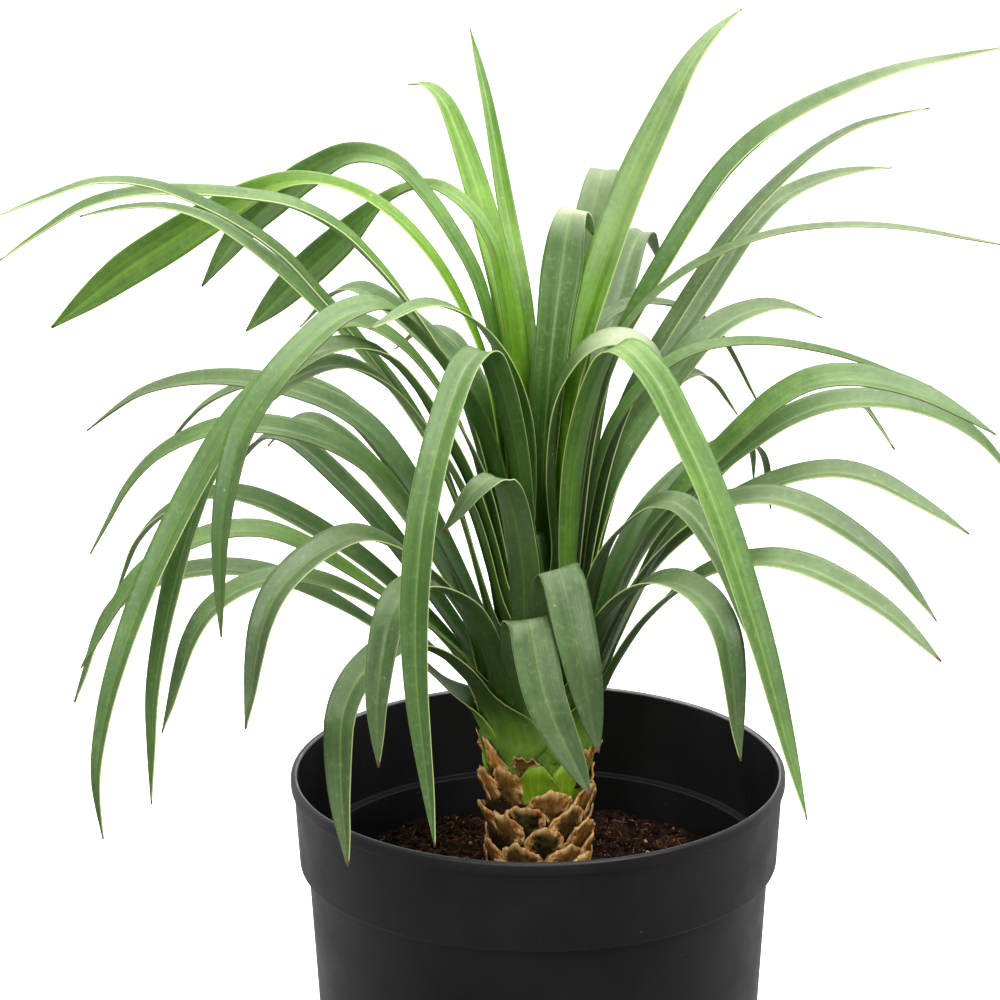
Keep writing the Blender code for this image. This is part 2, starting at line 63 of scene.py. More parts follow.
def paint(red: int, green: int, blue: int) -> Colour:
    """Turn a screen colour into the linear colour that a shader reads.

    Args:
        red: Red, 0 to 255.
        green: Green, 0 to 255.
        blue: Blue, 0 to 255.

    Returns:
        The linear colour with full alpha.
    """
    def linear(value: int) -> float:
        """Linear value of one channel."""
        share = value / 255
        return share / 12.92 if share <= 0.04045 else ((share + 0.055) / 1.055) ** 2.4

    return (linear(red), linear(green), linear(blue), 1.0)


def grey(value: float) -> Colour:
    """A neutral colour of one linear value."""
    return (value, value, value, 1.0)


def ease(value: float, start: float, end: float) -> float:
    """Smooth step of a value, from 0 at start to 1 at end."""
    share = min(1.0, max(0.0, (value - start) / (end - start)))
    return share * share * (3 - 2 * share)


def around(angle: float, radius: float, height: float) -> Vector:
    """Point round the plant's axis, at an angle in radians, a radius and a height."""
    return Vector((radius * math.cos(angle), radius * math.sin(angle), height))


class FinishSheet:
    """A material whose nodes are added and joined in short calls."""

    def __init__(self, name: str) -> None:
        """Make the material.

        Args:
            name: The material's name.
        """
        self.material = bpy.data.materials.new(name)
        self.material.use_nodes = True
        self.nodes = self.material.node_tree.nodes
        self.links = self.material.node_tree.links
        self.shader = self.nodes["Principled BSDF"]

    def plain(self, values: dict[str, float | Colour | tuple[float, float, float]]) -> None:
        """Set even values on the shader's own sockets."""
        for name, value in values.items():
            self.shader.inputs[name].default_value = value

    def drive(self, name: str, source: Socket) -> None:
        """Join a pattern to one of the shader's sockets."""
        self.links.new(source, self.shader.inputs[name])

    def add(self, kind: str, inputs: dict[int | str, object], **settings: object) -> bpy.types.Node:
        """Add a node.

        Args:
            kind: Node type without its leading ShaderNode.
            inputs: Values or sockets by input name or number.
            settings: The node's own options.

        Returns:
            The new node.
        """
        node = self.nodes.new("ShaderNode" + kind)
        for name, value in settings.items():
            setattr(node, name, value)
        for name, value in inputs.items():
            if isinstance(value, Socket):
                self.links.new(value, node.inputs[name])
            else:
                node.inputs[name].default_value = value
        return node

    def place(self) -> Socket:
        """Where a point lies on the object, in metres."""
        return self.add("TexCoord", {}).outputs["Object"]

    def across_along(self) -> Socket:
        """Where a point lies on a blade: across it and along it, each 0 to 1."""
        return self.add("TexCoord", {}).outputs["UV"]

    def stretched(self, vector: Socket, scale: Sequence[float]) -> Socket:
        """A vector scaled axis by axis."""
        return self.add("Mapping", {"Vector": vector, "Scale": tuple(scale)}).outputs["Vector"]

    def part(self, vector: Socket, axis: str) -> Socket:
        """One axis of a vector."""
        return self.add("SeparateXYZ", {"Vector": vector}).outputs[axis]

    def off_middle(self, blade: Socket) -> Socket:
        """How far a point lies from a blade's middle line, 0 to 0.5."""
        return self.calc("ABSOLUTE", self.calc("SUBTRACT", self.part(blade, "X"), 0.5))

    def noise(self, vector: Socket, scale: float, detail: float = 3.0, roughness: float = 0.55) -> Socket:
        """Soft random pattern of a scale per metre or per unit."""
        inputs = {"Vector": vector, "Scale": scale, "Detail": detail, "Roughness": roughness}
        return self.add("TexNoise", inputs).outputs["Fac"]

    def dots(self, vector: Socket, scale: float, size: Span, rarity: Span, axis: str = "X",
             strength: float = 1.0) -> Socket:
        """Scattered round marks.

        Args:
            vector: Where a point lies.
            scale: Cells per metre or per unit, each of which may hold one mark.
            size: Distances from a cell's centre at which its mark starts and ends to fade.
            rarity: The random value above which a cell has a mark, and the one at which it is full.
            axis: Axis of the cell's random colour that gives that value.
            strength: The mark's strength.

        Returns:
            The strength inside a mark, and 0 outside.
        """
        cells = self.add("TexVoronoi", {"Vector": vector, "Scale": scale}).outputs
        near = self.span(cells["Distance"], *size, 1.0, 0.0)
        return self.times(near, self.span(self.part(cells["Color"], axis), *rarity, 0.0, strength))

    def attribute(self, name: str) -> Socket:
        """A number that the mesh carries."""
        return self.add("Attribute", {}, attribute_name=name).outputs["Fac"]

    def span(self, value: Socket, low: float, high: float, to_low: float = 0.0,
             to_high: float = 1.0) -> Socket:
        """Map a range of values to another, held at its ends."""
        inputs = {"Value": value, "From Min": low, "From Max": high, "To Min": to_low, "To Max": to_high}
        return self.add("MapRange", inputs).outputs["Result"]

    def calc(self, operation: str, first: object, second: object = 0.0) -> Socket:
        """Any operation on two values."""
        return self.add("Math", {0: first, 1: second}, operation=operation).outputs[0]

    def times(self, first: object, second: object) -> Socket:
        """The product of two values."""
        return self.calc("MULTIPLY", first, second)

    def plus(self, first: object, second: object) -> Socket:
        """The sum of two values."""
        return self.calc("ADD", first, second)

    def mix(self, share: object, first: object, second: object) -> Socket:
        """Mix two colours: the first at a share of 0, the second at 1."""
        return self.add("Mix", {0: share, 6: first, 7: second}, data_type="RGBA").outputs[2]

    def ramp(self, value: Socket, stops: Sequence[tuple[float, Colour]]) -> Socket:
        """Colour of a value between stops.

        Args:
            value: The value, 0 to 1.
            stops: Places and their colours, in order.

        Returns:
            The colour.
        """
        node = self.add("ValToRGB", {0: value})
        elements = node.color_ramp.elements
        elements[0].position, elements[0].color = stops[0]
        elements[1].position, elements[1].color = stops[-1]
        for position, colour in stops[1:-1]:
            elements.new(position).color = colour
        return node.outputs["Color"]

    def relief(self, height: Socket, depth: float, strength: float = 1.0) -> None:
        """Raise the surface's shading by a pattern.

        Args:
            height: Pattern, 0 to 1.
            depth: Depth of the relief in metres.
            strength: Share of the relief shown.
        """
        node = self.add("Bump", {"Height": height, "Distance": depth, "Strength": strength})
        self.drive("Normal", node.outputs["Normal"])


@dataclass(frozen=True)
class MouldedPlastic:
    """Matte black moulded plastic with fine grain, faint scuffs, dust specks and a patchy painted highlight
    along the rim's inner top edge.
    """
    deep: Colour = paint(18, 18, 19)
    scuffed: Colour = paint(34, 34, 36)
    dust: Colour = paint(118, 114, 108)
    # worn is the colour of the painted highlight along the rim's inner top edge.
    worn: Colour = paint(160, 158, 158)
    rim_highlight_above: Span = (208.9 * MM, 209.6 * MM)
    rim_highlight_inside: Span = (117.7 * MM, 118.1 * MM)
    highlight_patches_per_metre: float = 60.0
    scuffs_per_metre: float = 11.0
    specks_per_metre: float = 150.0
    sheen_per_metre: float = 45.0
    roughness: Span = (0.40, 0.52)
    specular: float = 0.42
    grain_per_metre: float = 2600.0
    grain_depth: float = 0.06 * MM
    grain_strength: float = 0.5

    def make(self) -> bpy.types.Material:
        """Build the material."""
        sheet = FinishSheet("moulded_plastic")
        place = sheet.place()
        scuffs = sheet.noise(place, self.scuffs_per_metre, 5.0, 0.6)
        colour = sheet.mix(sheet.span(scuffs, 0.35, 0.75), self.deep, self.scuffed)
        specks = sheet.dots(place, self.specks_per_metre, (0.03, 0.075), (0.90, 0.93))
        colour = sheet.mix(specks, colour, self.dust)
        radius = sheet.add("VectorMath", {0: sheet.stretched(place, (1.0, 1.0, 0.0))}, operation="LENGTH")
        # Painted highlight: the rim's inner top edge is made pale in patches.
        rim = sheet.times(sheet.span(sheet.part(place, "Z"), *self.rim_highlight_above),
                          sheet.span(radius.outputs["Value"], *self.rim_highlight_inside, 1.0, 0.0))
        patchy = sheet.span(sheet.noise(place, self.highlight_patches_per_metre), 0.25, 0.7, 0.2, 0.9)
        sheet.drive("Base Color", sheet.mix(sheet.times(rim, patchy), colour, self.worn))
        sheen = sheet.noise(place, self.sheen_per_metre, 4.0)
        sheet.drive("Roughness", sheet.span(sheen, 0.3, 0.7, *self.roughness))
        sheet.plain({"Specular IOR Level": self.specular})
        sheet.relief(sheet.noise(place, self.grain_per_metre, 2.0), self.grain_depth, self.grain_strength)
        return sheet.material


@dataclass(frozen=True)
class PottingMix:
    """Dark peaty mix with brown bits."""
    dark: Colour = paint(16, 11, 8)
    brown: Colour = paint(68, 45, 31)
    bits: Colour = paint(150, 116, 84)
    patches_per_metre: float = 160.0
    bits_per_metre: float = 620.0
    roughness: float = 0.95
    specular: float = 0.2
    relief_per_metre: float = 900.0
    relief_depth: float = 1.2 * MM
    relief_strength: float = 0.9

    def make(self) -> bpy.types.Material:
        """Build the material."""
        sheet = FinishSheet("potting_mix")
        place = sheet.place()
        patches = sheet.noise(place, self.patches_per_metre, 6.0, 0.65)
        colour = sheet.mix(sheet.span(patches, 0.36, 0.68), self.dark, self.brown)
        bits = sheet.dots(place, self.bits_per_metre, (0.15, 0.4), (0.84, 0.9))
        sheet.drive("Base Color", sheet.mix(bits, colour, self.bits))
        sheet.plain({"Roughness": self.roughness, "Specular IOR Level": self.specular})
        lumps = sheet.noise(place, self.relief_per_metre, 5.0, 0.7)
        sheet.relief(lumps, self.relief_depth, self.relief_strength)
        return sheet.material


@dataclass(frozen=True)
class PlainFibre:
    """Dry fibre, chip or bark of one range of colours."""
    name: str
    dark: Colour
    light: Colour
    per_metre: float = 90.0
    roughness: float = 0.9
    specular: float = 0.2
    relief_per_metre: float = 1500.0
    relief_depth: float = 0.3 * MM
    relief_strength: float = 0.6

    def make(self) -> bpy.types.Material:
        """Build the material."""
        sheet = FinishSheet(self.name)
        place = sheet.place()
        shade = sheet.noise(place, self.per_metre, 4.0)
        sheet.drive("Base Color", sheet.mix(sheet.span(shade, 0.3, 0.7), self.dark, self.light))
        sheet.plain({"Roughness": self.roughness, "Specular IOR Level": self.specular})
        sheet.relief(sheet.noise(place, self.relief_per_metre), self.relief_depth, self.relief_strength)
        return sheet.material


@dataclass(frozen=True)
class DeadScale:
    """Dry cut leaf base: tan fibres, cream rims, a dark weathered middle, a lower part darkened as painted
    shade where the row below overlaps it, and small dark marks.
    """
    tan: Colour = paint(250, 192, 108)
    orange: Colour = paint(208, 124, 50)
    cream: Colour = paint(254, 222, 164)
    # dark is the colour of the weathered middle and the marks, and of the painted shade low on the scale.
    dark: Colour = paint(34, 24, 12)
    moss: Colour = paint(92, 86, 40)
    fibres: Scale3 = (14.0, 2.6, 1.0)
    marks: Scale3 = (11.0, 8.0, 1.0)
    blots_per_metre: float = 210.0
    waver: float = 0.16
    roughness: Span = (0.45, 0.75)
    specular: float = 0.35
    relief_depth: float = 1.6 * MM
    relief_strength: float = 0.9

    def make(self) -> bpy.types.Material:
        """Build the material."""
        sheet = FinishSheet("dead_scale")
        blade = sheet.across_along()
        along = sheet.part(blade, "Y")
        fibres = sheet.noise(sheet.stretched(blade, self.fibres), 1.0, 5.0, 0.65)
        blots = sheet.noise(sheet.place(), self.blots_per_metre, 5.0, 0.65)
        shift = sheet.span(blots, 0.3, 0.7, -self.waver, self.waver)
        spread = sheet.plus(sheet.off_middle(blade), shift)
        colour = sheet.mix(sheet.span(fibres, 0.40, 0.60), self.orange, self.tan)
        lip = sheet.span(sheet.plus(along, sheet.times(shift, 0.5)), 0.84, 0.97)
        rims = sheet.calc("MAXIMUM", sheet.span(spread, 0.24, 0.42), lip)
        colour = sheet.mix(sheet.times(rims, sheet.span(fibres, 0.32, 0.54)), colour, self.cream)
        middle = sheet.times(sheet.span(spread, 0.22, 0.38, 1.0, 0.0),
                             sheet.span(along, 0.84, 1.0, 1.0, 0.3))
        weathered = sheet.mix(sheet.span(blots, 0.40, 0.60), self.dark, self.moss)
        colour = sheet.mix(sheet.times(middle, sheet.attribute(WEATHERED)), colour, weathered)
        # Painted shade: the lower part of the scale, under the tips of the row below, is darkened.
        colour = sheet.mix(sheet.span(sheet.plus(along, shift), 0.34, 0.62, 0.94, 0.0), colour, self.dark)
        marks = sheet.dots(sheet.stretched(blade, self.marks), 1.0, (0.12, 0.24), (0.55, 0.6))
        sheet.drive("Base Color", sheet.mix(sheet.times(marks, 0.85), colour, self.dark))
        sheet.drive("Roughness", sheet.span(fibres, 0.2, 0.8, *self.roughness))
        sheet.plain({"Specular IOR Level": self.specular})
        height = sheet.plus(sheet.times(fibres, 0.7), sheet.times(blots, 0.9))
        sheet.relief(sheet.calc("SUBTRACT", height, sheet.times(marks, 0.4)), self.relief_depth,
                     self.relief_strength)
        return sheet.material


@dataclass(frozen=True)
class FreshBase:
    """Bright green cut or clasping leaf base, with a thin brown edge where it is edged."""
    green: Colour = paint(158, 188, 48)
    light: Colour = paint(196, 214, 96)
    deep: Colour = paint(108, 148, 36)
    edge: Colour = paint(196, 176, 104)
    name: str = "fresh_base"
    edged: bool = True
    veins: Scale3 = (22.0, 0.8, 1.0)
    clouds_per_metre: float = 90.0
    roughness: float = 0.42
    glow: float = 0.15
    glow_radius: Scale3 = (0.5, 1.0, 0.2)
    glow_depth: float = 3 * MM
    relief_depth: float = 0.3 * MM
    relief_strength: float = 0.5

    def make(self) -> bpy.types.Material:
        """Build the material."""
        sheet = FinishSheet(self.name)
        blade = sheet.across_along()
        veins = sheet.noise(sheet.stretched(blade, self.veins), 1.0, 2.0)
        clouds = sheet.noise(sheet.place(), self.clouds_per_metre, 4.0)
        colour = sheet.mix(sheet.span(clouds, 0.35, 0.68), self.deep, self.green)
        colour = sheet.mix(sheet.span(veins, 0.5, 0.8, 0.0, 0.6), colour, self.light)
        if self.edged:
            rim = sheet.calc("MAXIMUM", sheet.span(sheet.off_middle(blade), 0.465, 0.49),
                             sheet.span(sheet.part(blade, "Y"), 0.955, 0.985))
            colour = sheet.mix(sheet.times(rim, 0.6), colour, self.edge)
        sheet.drive("Base Color", colour)
        sheet.plain({"Roughness": self.roughness, "Subsurface Weight": self.glow,
                     "Subsurface Radius": self.glow_radius, "Subsurface Scale": self.glow_depth})
        sheet.relief(veins, self.relief_depth, self.relief_strength)
        return sheet.material


class LeafSide(Enum):
    """The faces of a blade that get a finish of their own."""
    UPPER = "upper"
    UNDER = "under"
    MARGIN = "margin"


@dataclass(frozen=True)
class LeafFinish:
    """Leaf skin: greens by age, fine lengthwise veins, a pale midrib, bloom with a painted sheen on level
    parts and pale ends, small marks and dry tips.
    """
    old: Colour = paint(38, 70, 20)
    grown: Colour = paint(62, 104, 20)
    young: Colour = paint(118, 160, 20)
    bloom_and_sheen: Colour = paint(172, 180, 150)
    midrib: Colour = paint(160, 184, 92)
    dry: Colour = paint(120, 88, 66)
    margin: Colour = paint(206, 214, 150)
    bronze: Colour = paint(104, 92, 54)
    tan: Colour = paint(208, 206, 128)
    speck: Colour = paint(206, 208, 170)
    veins: Scale3 = (30.0, 1.1, 1.0)
    bands: Scale3 = (5.0, 1.6, 1.0)
    clouds_per_metre: float = 38.0
    mottle_per_metre: float = 330.0
    specks_per_metre: float = 130.0
    spots_per_metre: float = 60.0
    margin_share: float = 0.68
    under_bloom: float = 0.10
    roughness: Span = (0.36, 0.48)
    specular: float = 0.5
    glow: float = 0.22
    glow_radius: Scale3 = (0.45, 1.0, 0.12)
    glow_depth: float = 2.5 * MM
    relief_depth: float = 0.22 * MM
    relief_strength: float = 0.55

    def make(self, side: LeafSide) -> bpy.types.Material:
        """Build one side's material.

        Args:
            side: Which faces of the blade it is for.

        Returns:
            The material.
        """
        sheet = FinishSheet("leaf_" + side.value)
        place = sheet.place()
        blade = sheet.across_along()
        clouds = sheet.noise(place, self.clouds_per_metre, 4.0, 0.6)
        veins = sheet.noise(sheet.stretched(blade, self.veins), 1.0, 2.0, 0.6)
        bands = sheet.noise(sheet.stretched(blade, self.bands), 1.0, 3.0, 0.6)
        age = sheet.plus(sheet.attribute("age"), sheet.span(clouds, 0.25, 0.75, -0.14, 0.14))
        age = sheet.plus(age, sheet.span(bands, 0.3, 0.7, -0.20, 0.20))
        colour = sheet.ramp(age, [(0.0, self.old), (0.5, self.grown), (1.0, self.young)])
        # The bloom mark is real bloom plus a painted sheen on level parts and on pale leaf ends.
        bloom = sheet.times(sheet.attribute("bloom"), sheet.span(clouds, 0.2, 0.7, 0.55, 1.0))
        colour = sheet.mix(bloom, colour, self.bloom_and_sheen)
        if side is LeafSide.MARGIN:
            edge = sheet.mix(sheet.attribute("edge"), self.bronze, self.margin)
            colour = sheet.mix(self.margin_share, colour, edge)
            colour = sheet.mix(sheet.span(sheet.attribute("root"), 0.0, 1.0, 0.0, 0.85), colour, self.tan)
        else:
            colour = self.veined(sheet, veins, colour)
            colour = self.mottled(sheet, place, colour)
            rib = sheet.span(sheet.off_middle(blade), 0.0, 0.06, 0.30, 0.0)
            colour = sheet.mix(sheet.times(rib, sheet.attribute("rib")), colour, self.midrib)
            colour = self.marked(sheet, place, colour)
        if side is LeafSide.UNDER:
            colour = sheet.mix(self.under_bloom, colour, self.bloom_and_sheen)
        patchy = sheet.plus(sheet.attribute("dry"), sheet.span(clouds, 0.2, 0.8, -0.2, 0.2))
        sheet.drive("Base Color", sheet.mix(sheet.span(patchy, 0.35, 0.75), colour, self.dry))
        sheet.drive("Roughness", sheet.span(clouds, 0.3, 0.7, *self.roughness))
        sheet.plain({"Subsurface Weight": self.glow, "Subsurface Radius": self.glow_radius,
                     "Subsurface Scale": self.glow_depth, "Specular IOR Level": self.specular})
        sheet.relief(veins, self.relief_depth, self.relief_strength)
        return sheet.material

    def veined(self, sheet: FinishSheet, veins: Socket, colour: Socket) -> Socket:
        """Add pale and dark lengthwise veins to a sheet's colour."""
        colour = sheet.mix(sheet.span(veins, 0.50, 0.76, 0.0, 0.15), colour, self.midrib)
        return sheet.mix(sheet.span(veins, 0.28, 0.46, 0.20, 0.0), colour, self.old)

    def mottled(self, sheet: FinishSheet, place: Socket, colour: Socket) -> Socket:
        """Add fine pale and dark mottling.

        Args:
            sheet: The material's sheet.
            place: Where a point lies on the object.
            colour: The colour so far.

        Returns:
            The mottled colour.
        """
        mottle = sheet.noise(place, self.mottle_per_metre, 5.0, 0.7)
        colour = sheet.mix(sheet.span(mottle, 0.54, 0.72, 0.0, 0.20), colour, self.bloom_and_sheen)
        return sheet.mix(sheet.span(mottle, 0.28, 0.46, 0.26, 0.0), colour, self.old)

    def marked(self, sheet: FinishSheet, place: Socket, colour: Socket) -> Socket:
        """Add scattered pale specks and small brown spots.

        Args:
            sheet: The material's sheet.
            place: Where a point lies on the object.
            colour: The colour so far.

        Returns:
            The marked colour.
        """
        specks = sheet.dots(place, self.specks_per_metre, (0.045, 0.10), (0.92, 0.94), strength=0.6)
        spots = sheet.dots(place, self.spots_per_metre, (0.03, 0.06), (0.90, 0.92), axis="Y")
        return sheet.mix(spots, sheet.mix(specks, colour, self.speck), self.dry)


def add_piece(name: str, bm: bmesh.types.BMesh, finishes: Sequence[bpy.types.Material],
              stands_for: Sequence[str] = ()) -> bpy.types.Object:
    """Make an object of a finished bmesh, let it ride on the plant and hide the CAD nodes that it stands
    for.

    Args:
        name: The piece's name.
        bm: Its mesh, which is freed.
        finishes: Its materials, in slot order.
        stands_for: CAD nodes that it replaces.

    Returns:
        The new object.
    """
    mesh = bpy.data.meshes.new(name)
    bm.to_mesh(mesh)
    bm.free()
    mesh.shade_smooth()
    for finish in finishes:
        mesh.materials.append(finish)
    piece = bpy.data.objects.new(name, mesh)
    bpy.context.scene.collection.objects.link(piece)
    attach(piece, BODY)
    if stands_for:
        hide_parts(*stands_for)
    LOG.info("%s: %d faces", name, len(mesh.polygons))
    return piece


def thicken(piece: bpy.types.Object, thickness: float, offset: float, face: int = 0, rim: int = 0) -> None:
    """Give a surface its thickness.

    Args:
        piece: The object.
        thickness: Wall thickness in metres.
        offset: -1 to grow inwards, 0 on both sides, 1 outwards.
        face: How many material slots further on the far side's finish is.
        rim: How many material slots further on the edge's finish is.
    """
    wall = piece.modifiers.new("Thickness", "SOLIDIFY")
    wall.thickness = thickness
    wall.offset = offset
    wall.material_offset = face
    wall.material_offset_rim = rim
    wall.use_quality_normals = True


def gather(whole: bmesh.types.BMesh, part: bmesh.types.BMesh) -> bmesh.types.BMesh:
    """Move a part's mesh into the whole, which keeps long loops of small shapes quick.

    Args:
        whole: Mesh that takes the part.
        part: Mesh that is emptied.

    Returns:
        A new empty mesh for the next part.
    """
    mesh = bpy.data.meshes.new("batch")
    part.to_mesh(mesh)
    part.free()
    whole.from_mesh(mesh)
    bpy.data.meshes.remove(mesh)
    return bmesh.new()


def profile_mesh(points: Sequence[Span]) -> tuple[bmesh.types.BMesh, list[bmesh.types.BMEdge]]:
    """Start a mesh with a profile.

    Args:
        points: The profile's corners, as radius and height.

    Returns:
        The mesh and the profile's edges, in order.
    """
    bm = bmesh.new()
    corners = [bm.verts.new((radius, 0.0, height)) for radius, height in points]
    return bm, [bm.edges.new(pair) for pair in zip(corners, corners[1:])]


def spin_round(bm: bmesh.types.BMesh, steps: int) -> None:
    """Spin all that a mesh holds once round the plant's axis, in steps, and merge what meets."""
    bmesh.ops.spin(bm, geom=bm.verts[:] + bm.edges[:], cent=(0, 0, 0), axis=(0, 0, 1), dvec=(0, 0, 0),
                   angle=2 * math.pi, steps=steps, use_merge=True, use_duplicate=False)
    bmesh.ops.remove_doubles(bm, verts=bm.verts, dist=MERGE)


def turned(points: Sequence[Span], steps: int) -> bmesh.types.BMesh:
    """Turn a profile into a closed shape.

    Args:
        points: The profile's corners, as radius and height, from the axis back to the axis.
        steps: How many steps the full turn has.

    Returns:
        The shape.
    """
    bm, _ = profile_mesh(points)
    spin_round(bm, steps)
    bmesh.ops.recalc_face_normals(bm, faces=bm.faces)
    return bm


@dataclass
class NurseryPot:
    """The round pot: a rolled rim, a deep collar, a step and a tapering body.

    Edges that bend by more than sharp are rounded by rounding, in so many segments.
    """
    rim_radius: float = 120 * MM
    height: float = 210 * MM
    bead: float = 6 * MM
    inset: float = 0.9 * MM
    wall: float = 2.4 * MM
    collar_depth: float = 46 * MM
    collar_step: float = 3 * MM
    ledge: float = 0.5 * MM
    collar_top_radius: float = 118.5 * MM
    collar_foot_radius: float = 116.3 * MM
    body_top_radius: float = 112.2 * MM
    base_radius: float = 103 * MM
    base_round: float = 2 * MM
    floor: float = 3 * MM
    steps: int = 180
    rounding: float = 0.55 * MM
    segments: int = 3
    sharp: float = math.radians(18)

    def body_radius(self, height: float) -> float:
        """Outer radius of the body below the collar at a height."""
        share = height / (self.height - self.collar_depth)
        return self.base_radius + (self.body_top_radius - self.base_radius) * share

    def profile(self) -> list[Span]:
        """The pot's section, from the middle of its floor up the inside and down the outside."""
        foot = self.height - self.collar_depth
        low = self.floor + self.base_round
        inner = [
            (0.0, self.floor),
            (self.body_radius(self.floor) - self.wall - self.base_round, self.floor),
            (self.body_radius(low) - self.wall, low),
            (self.body_top_radius - self.wall, foot + self.ledge),
            (self.collar_foot_radius - self.wall, foot + 2 * self.ledge),
            (self.rim_radius - self.wall - self.inset, self.height - self.inset),
            (self.rim_radius - self.wall, self.height),
        ]
        outer = [
            (self.rim_radius - self.inset, self.height),
            (self.rim_radius, self.height - self.inset),
            (self.rim_radius, self.height - self.bead),
            (self.collar_top_radius, self.height - self.bead - self.inset),
            (self.collar_foot_radius, foot + self.inset),
            (self.collar_foot_radius - self.inset, foot),
            (self.body_top_radius, foot - self.collar_step / 2),
            (self.body_radius(self.base_round), self.base_round),
            (self.base_radius - self.base_round, 0.0),
            (0.0, 0.0),
        ]
        return inner + outer

    def build(self) -> bpy.types.Object:
        """Turn the section, round its corners and dress it."""
        bm = turned(self.profile(), self.steps)
        corners = [edge for edge in bm.edges if edge.calc_face_angle(0.0) > self.sharp]
        bmesh.ops.bevel(bm, geom=corners, offset=self.rounding, offset_type="OFFSET",
                        segments=self.segments, profile=0.5, affect="EDGES", clamp_overlap=True, material=-1)
        return add_piece("nursery_pot", bm, [MouldedPlastic().make()], ["pot"])


@dataclass(frozen=True)
class LooseBits:
    """Loose bits on the soil: their piece, how many, their least and most radius in mm, and their seed."""
    name: str
    count: int
    size: Span
    seed: int


@dataclass
class SoilBed:
    """The potting mix: a lumpy bed, loose crumbs, lumps and chips, and coir fibres.

    unevenness lists the heights of its bumps, each with how many noise cells there are to a metre.
    """
    surface: float = 146 * MM
    mound: float = 5 * MM
    hole: float = 24.6 * MM
    reach: float = 107.9 * MM
    foot_reach: float = 100.2 * MM
    foot: float = 5.3 * MM
    buried: float = 60 * MM
    unevenness: tuple[Span, ...] = ((2.5 * MM, 60), (3.0 * MM, 150), (1.8 * MM, 400))
    steps: int = 200
    cuts: int = 62
    crumbs: LooseBits = LooseBits("soil_crumbs", 2600, (0.5, 2.3), 7)
    lumps: LooseBits = LooseBits("soil_lumps", 220, (2.2, 4.2), 9)
    chips: LooseBits = LooseBits("soil_chips", 70, (0.9, 2.4), 11)
    bit_margin: float = 2.6 * MM
    bit_turn: Span = (0, 6.28)
    bit_breadth: Span = (0.5, 1.0)
    bit_height: Span = (0.4, 0.9)
    bit_stand: float = 0.4
    bit_roughness: float = 0.35 * MM
    bit_cells_per_metre: float = 900
    bit_noise_seed: int = 5
    fibres: int = 300
    fibre_seed: int = 3
    fibre_margins: Span = (2 * MM, 8 * MM)
    fibre_points: int = 8
    fibre_step: Span = (1.2, 3.4)
    fibre_lift: Span = (0.2, 0.9)
    fibre_bend: Span = (-0.32, 0.32)
    fibre_waver: Span = (-0.2, 0.2)
    fibre_radius: Span = (0.08, 0.22)
    fibre_sides: int = 4
    batch: int = 60

    def height(self, x: float, y: float) -> float:
        """Height of the surface at a place.

        Args:
            x: Place along X.
            y: Place along Y.

        Returns:
            The height.
        """
        share = min(1.0, max(0.0, (math.hypot(x, y) - self.hole) / (self.reach - self.hole)))
        level = self.surface + self.mound * (1 - share) ** 2
        spot = Vector((x, y, level))
        for rise, per_metre in self.unevenness:
            level += rise * noise.noise(spot * per_metre)
        return level

    def build(self) -> None:
        """Build the bed and everything loose on it."""
        self.build_bed()
        self.build_bits(self.crumbs, PottingMix().make())
        self.build_bits(self.lumps, PottingMix().make())
        self.build_bits(self.chips, PlainFibre("bark_chip", paint(104, 66, 38), paint(206, 156, 108)).make())
        self.build_fibres()

    def build_bed(self) -> None:
        """Turn the bed and roughen its top."""
        bm, edges = profile_mesh([(0.0, self.surface - self.buried), (self.hole, self.surface - self.buried),
                                  (self.hole, self.surface + self.mound), (self.reach, self.surface),
                                  (self.foot_reach, self.foot), (0.0, self.foot)])
        bmesh.ops.subdivide_edges(bm, edges=[edges[2]], cuts=self.cuts)
        spin_round(bm, self.steps)
        for vertex in bm.verts:
            inside = self.hole + MERGE < vertex.co.xy.length < self.reach - MERGE
            if inside and vertex.co.z > self.surface - MM:
                vertex.co.z = self.height(vertex.co.x, vertex.co.y)
        bmesh.ops.recalc_face_normals(bm, faces=bm.faces)
        add_piece("soil_bed", bm, [PottingMix().make()], ["soil"])

    def spread(self, pick: random.Random, margins: Span) -> Vector:
        """Pick an even random place on the bed.

        Args:
            pick: Source of chance.
            margins: Bare widths at the stem and at the pot's wall.

        Returns:
            The place, at height 0.
        """
        radius = math.sqrt(pick.uniform((self.hole + margins[0]) ** 2, (self.reach - margins[1]) ** 2))
        return around(pick.uniform(0, 2 * math.pi), radius, 0.0)

    def build_bits(self, bits: LooseBits, finish: bpy.types.Material) -> None:
        """Scatter loose bits over the bed.

        Args:
            bits: Which bits.
            finish: Their material.
        """
        pick = random.Random(bits.seed)
        whole = bmesh.new()
        bm = bmesh.new()
        for number in range(bits.count):
            if number % self.batch == self.batch - 1:
                bm = gather(whole, bm)
            spot = self.spread(pick, (MM, self.bit_margin))
            radius = pick.uniform(*bits.size) * MM * pick.uniform(0.5, 1.0)
            spot.z = self.height(spot.x, spot.y) + radius * self.bit_stand
            place = Matrix.Translation(spot) @ Matrix.Rotation(pick.uniform(*self.bit_turn), 4, "X")
            place = place @ Matrix.Rotation(pick.uniform(*self.bit_turn), 4, "Y")
            shares = (1.0, pick.uniform(*self.bit_breadth), pick.uniform(*self.bit_height), 1.0)
            flat = Matrix.Diagonal(shares)
            bmesh.ops.create_icosphere(bm, subdivisions=1, radius=radius, matrix=place @ flat)
        gather(whole, bm).free()
        noise.seed_set(self.bit_noise_seed)
        for vertex in whole.verts:
            vertex.co += self.bit_roughness * noise.noise_vector(vertex.co * self.bit_cells_per_metre)
        add_piece(bits.name, whole, [finish])

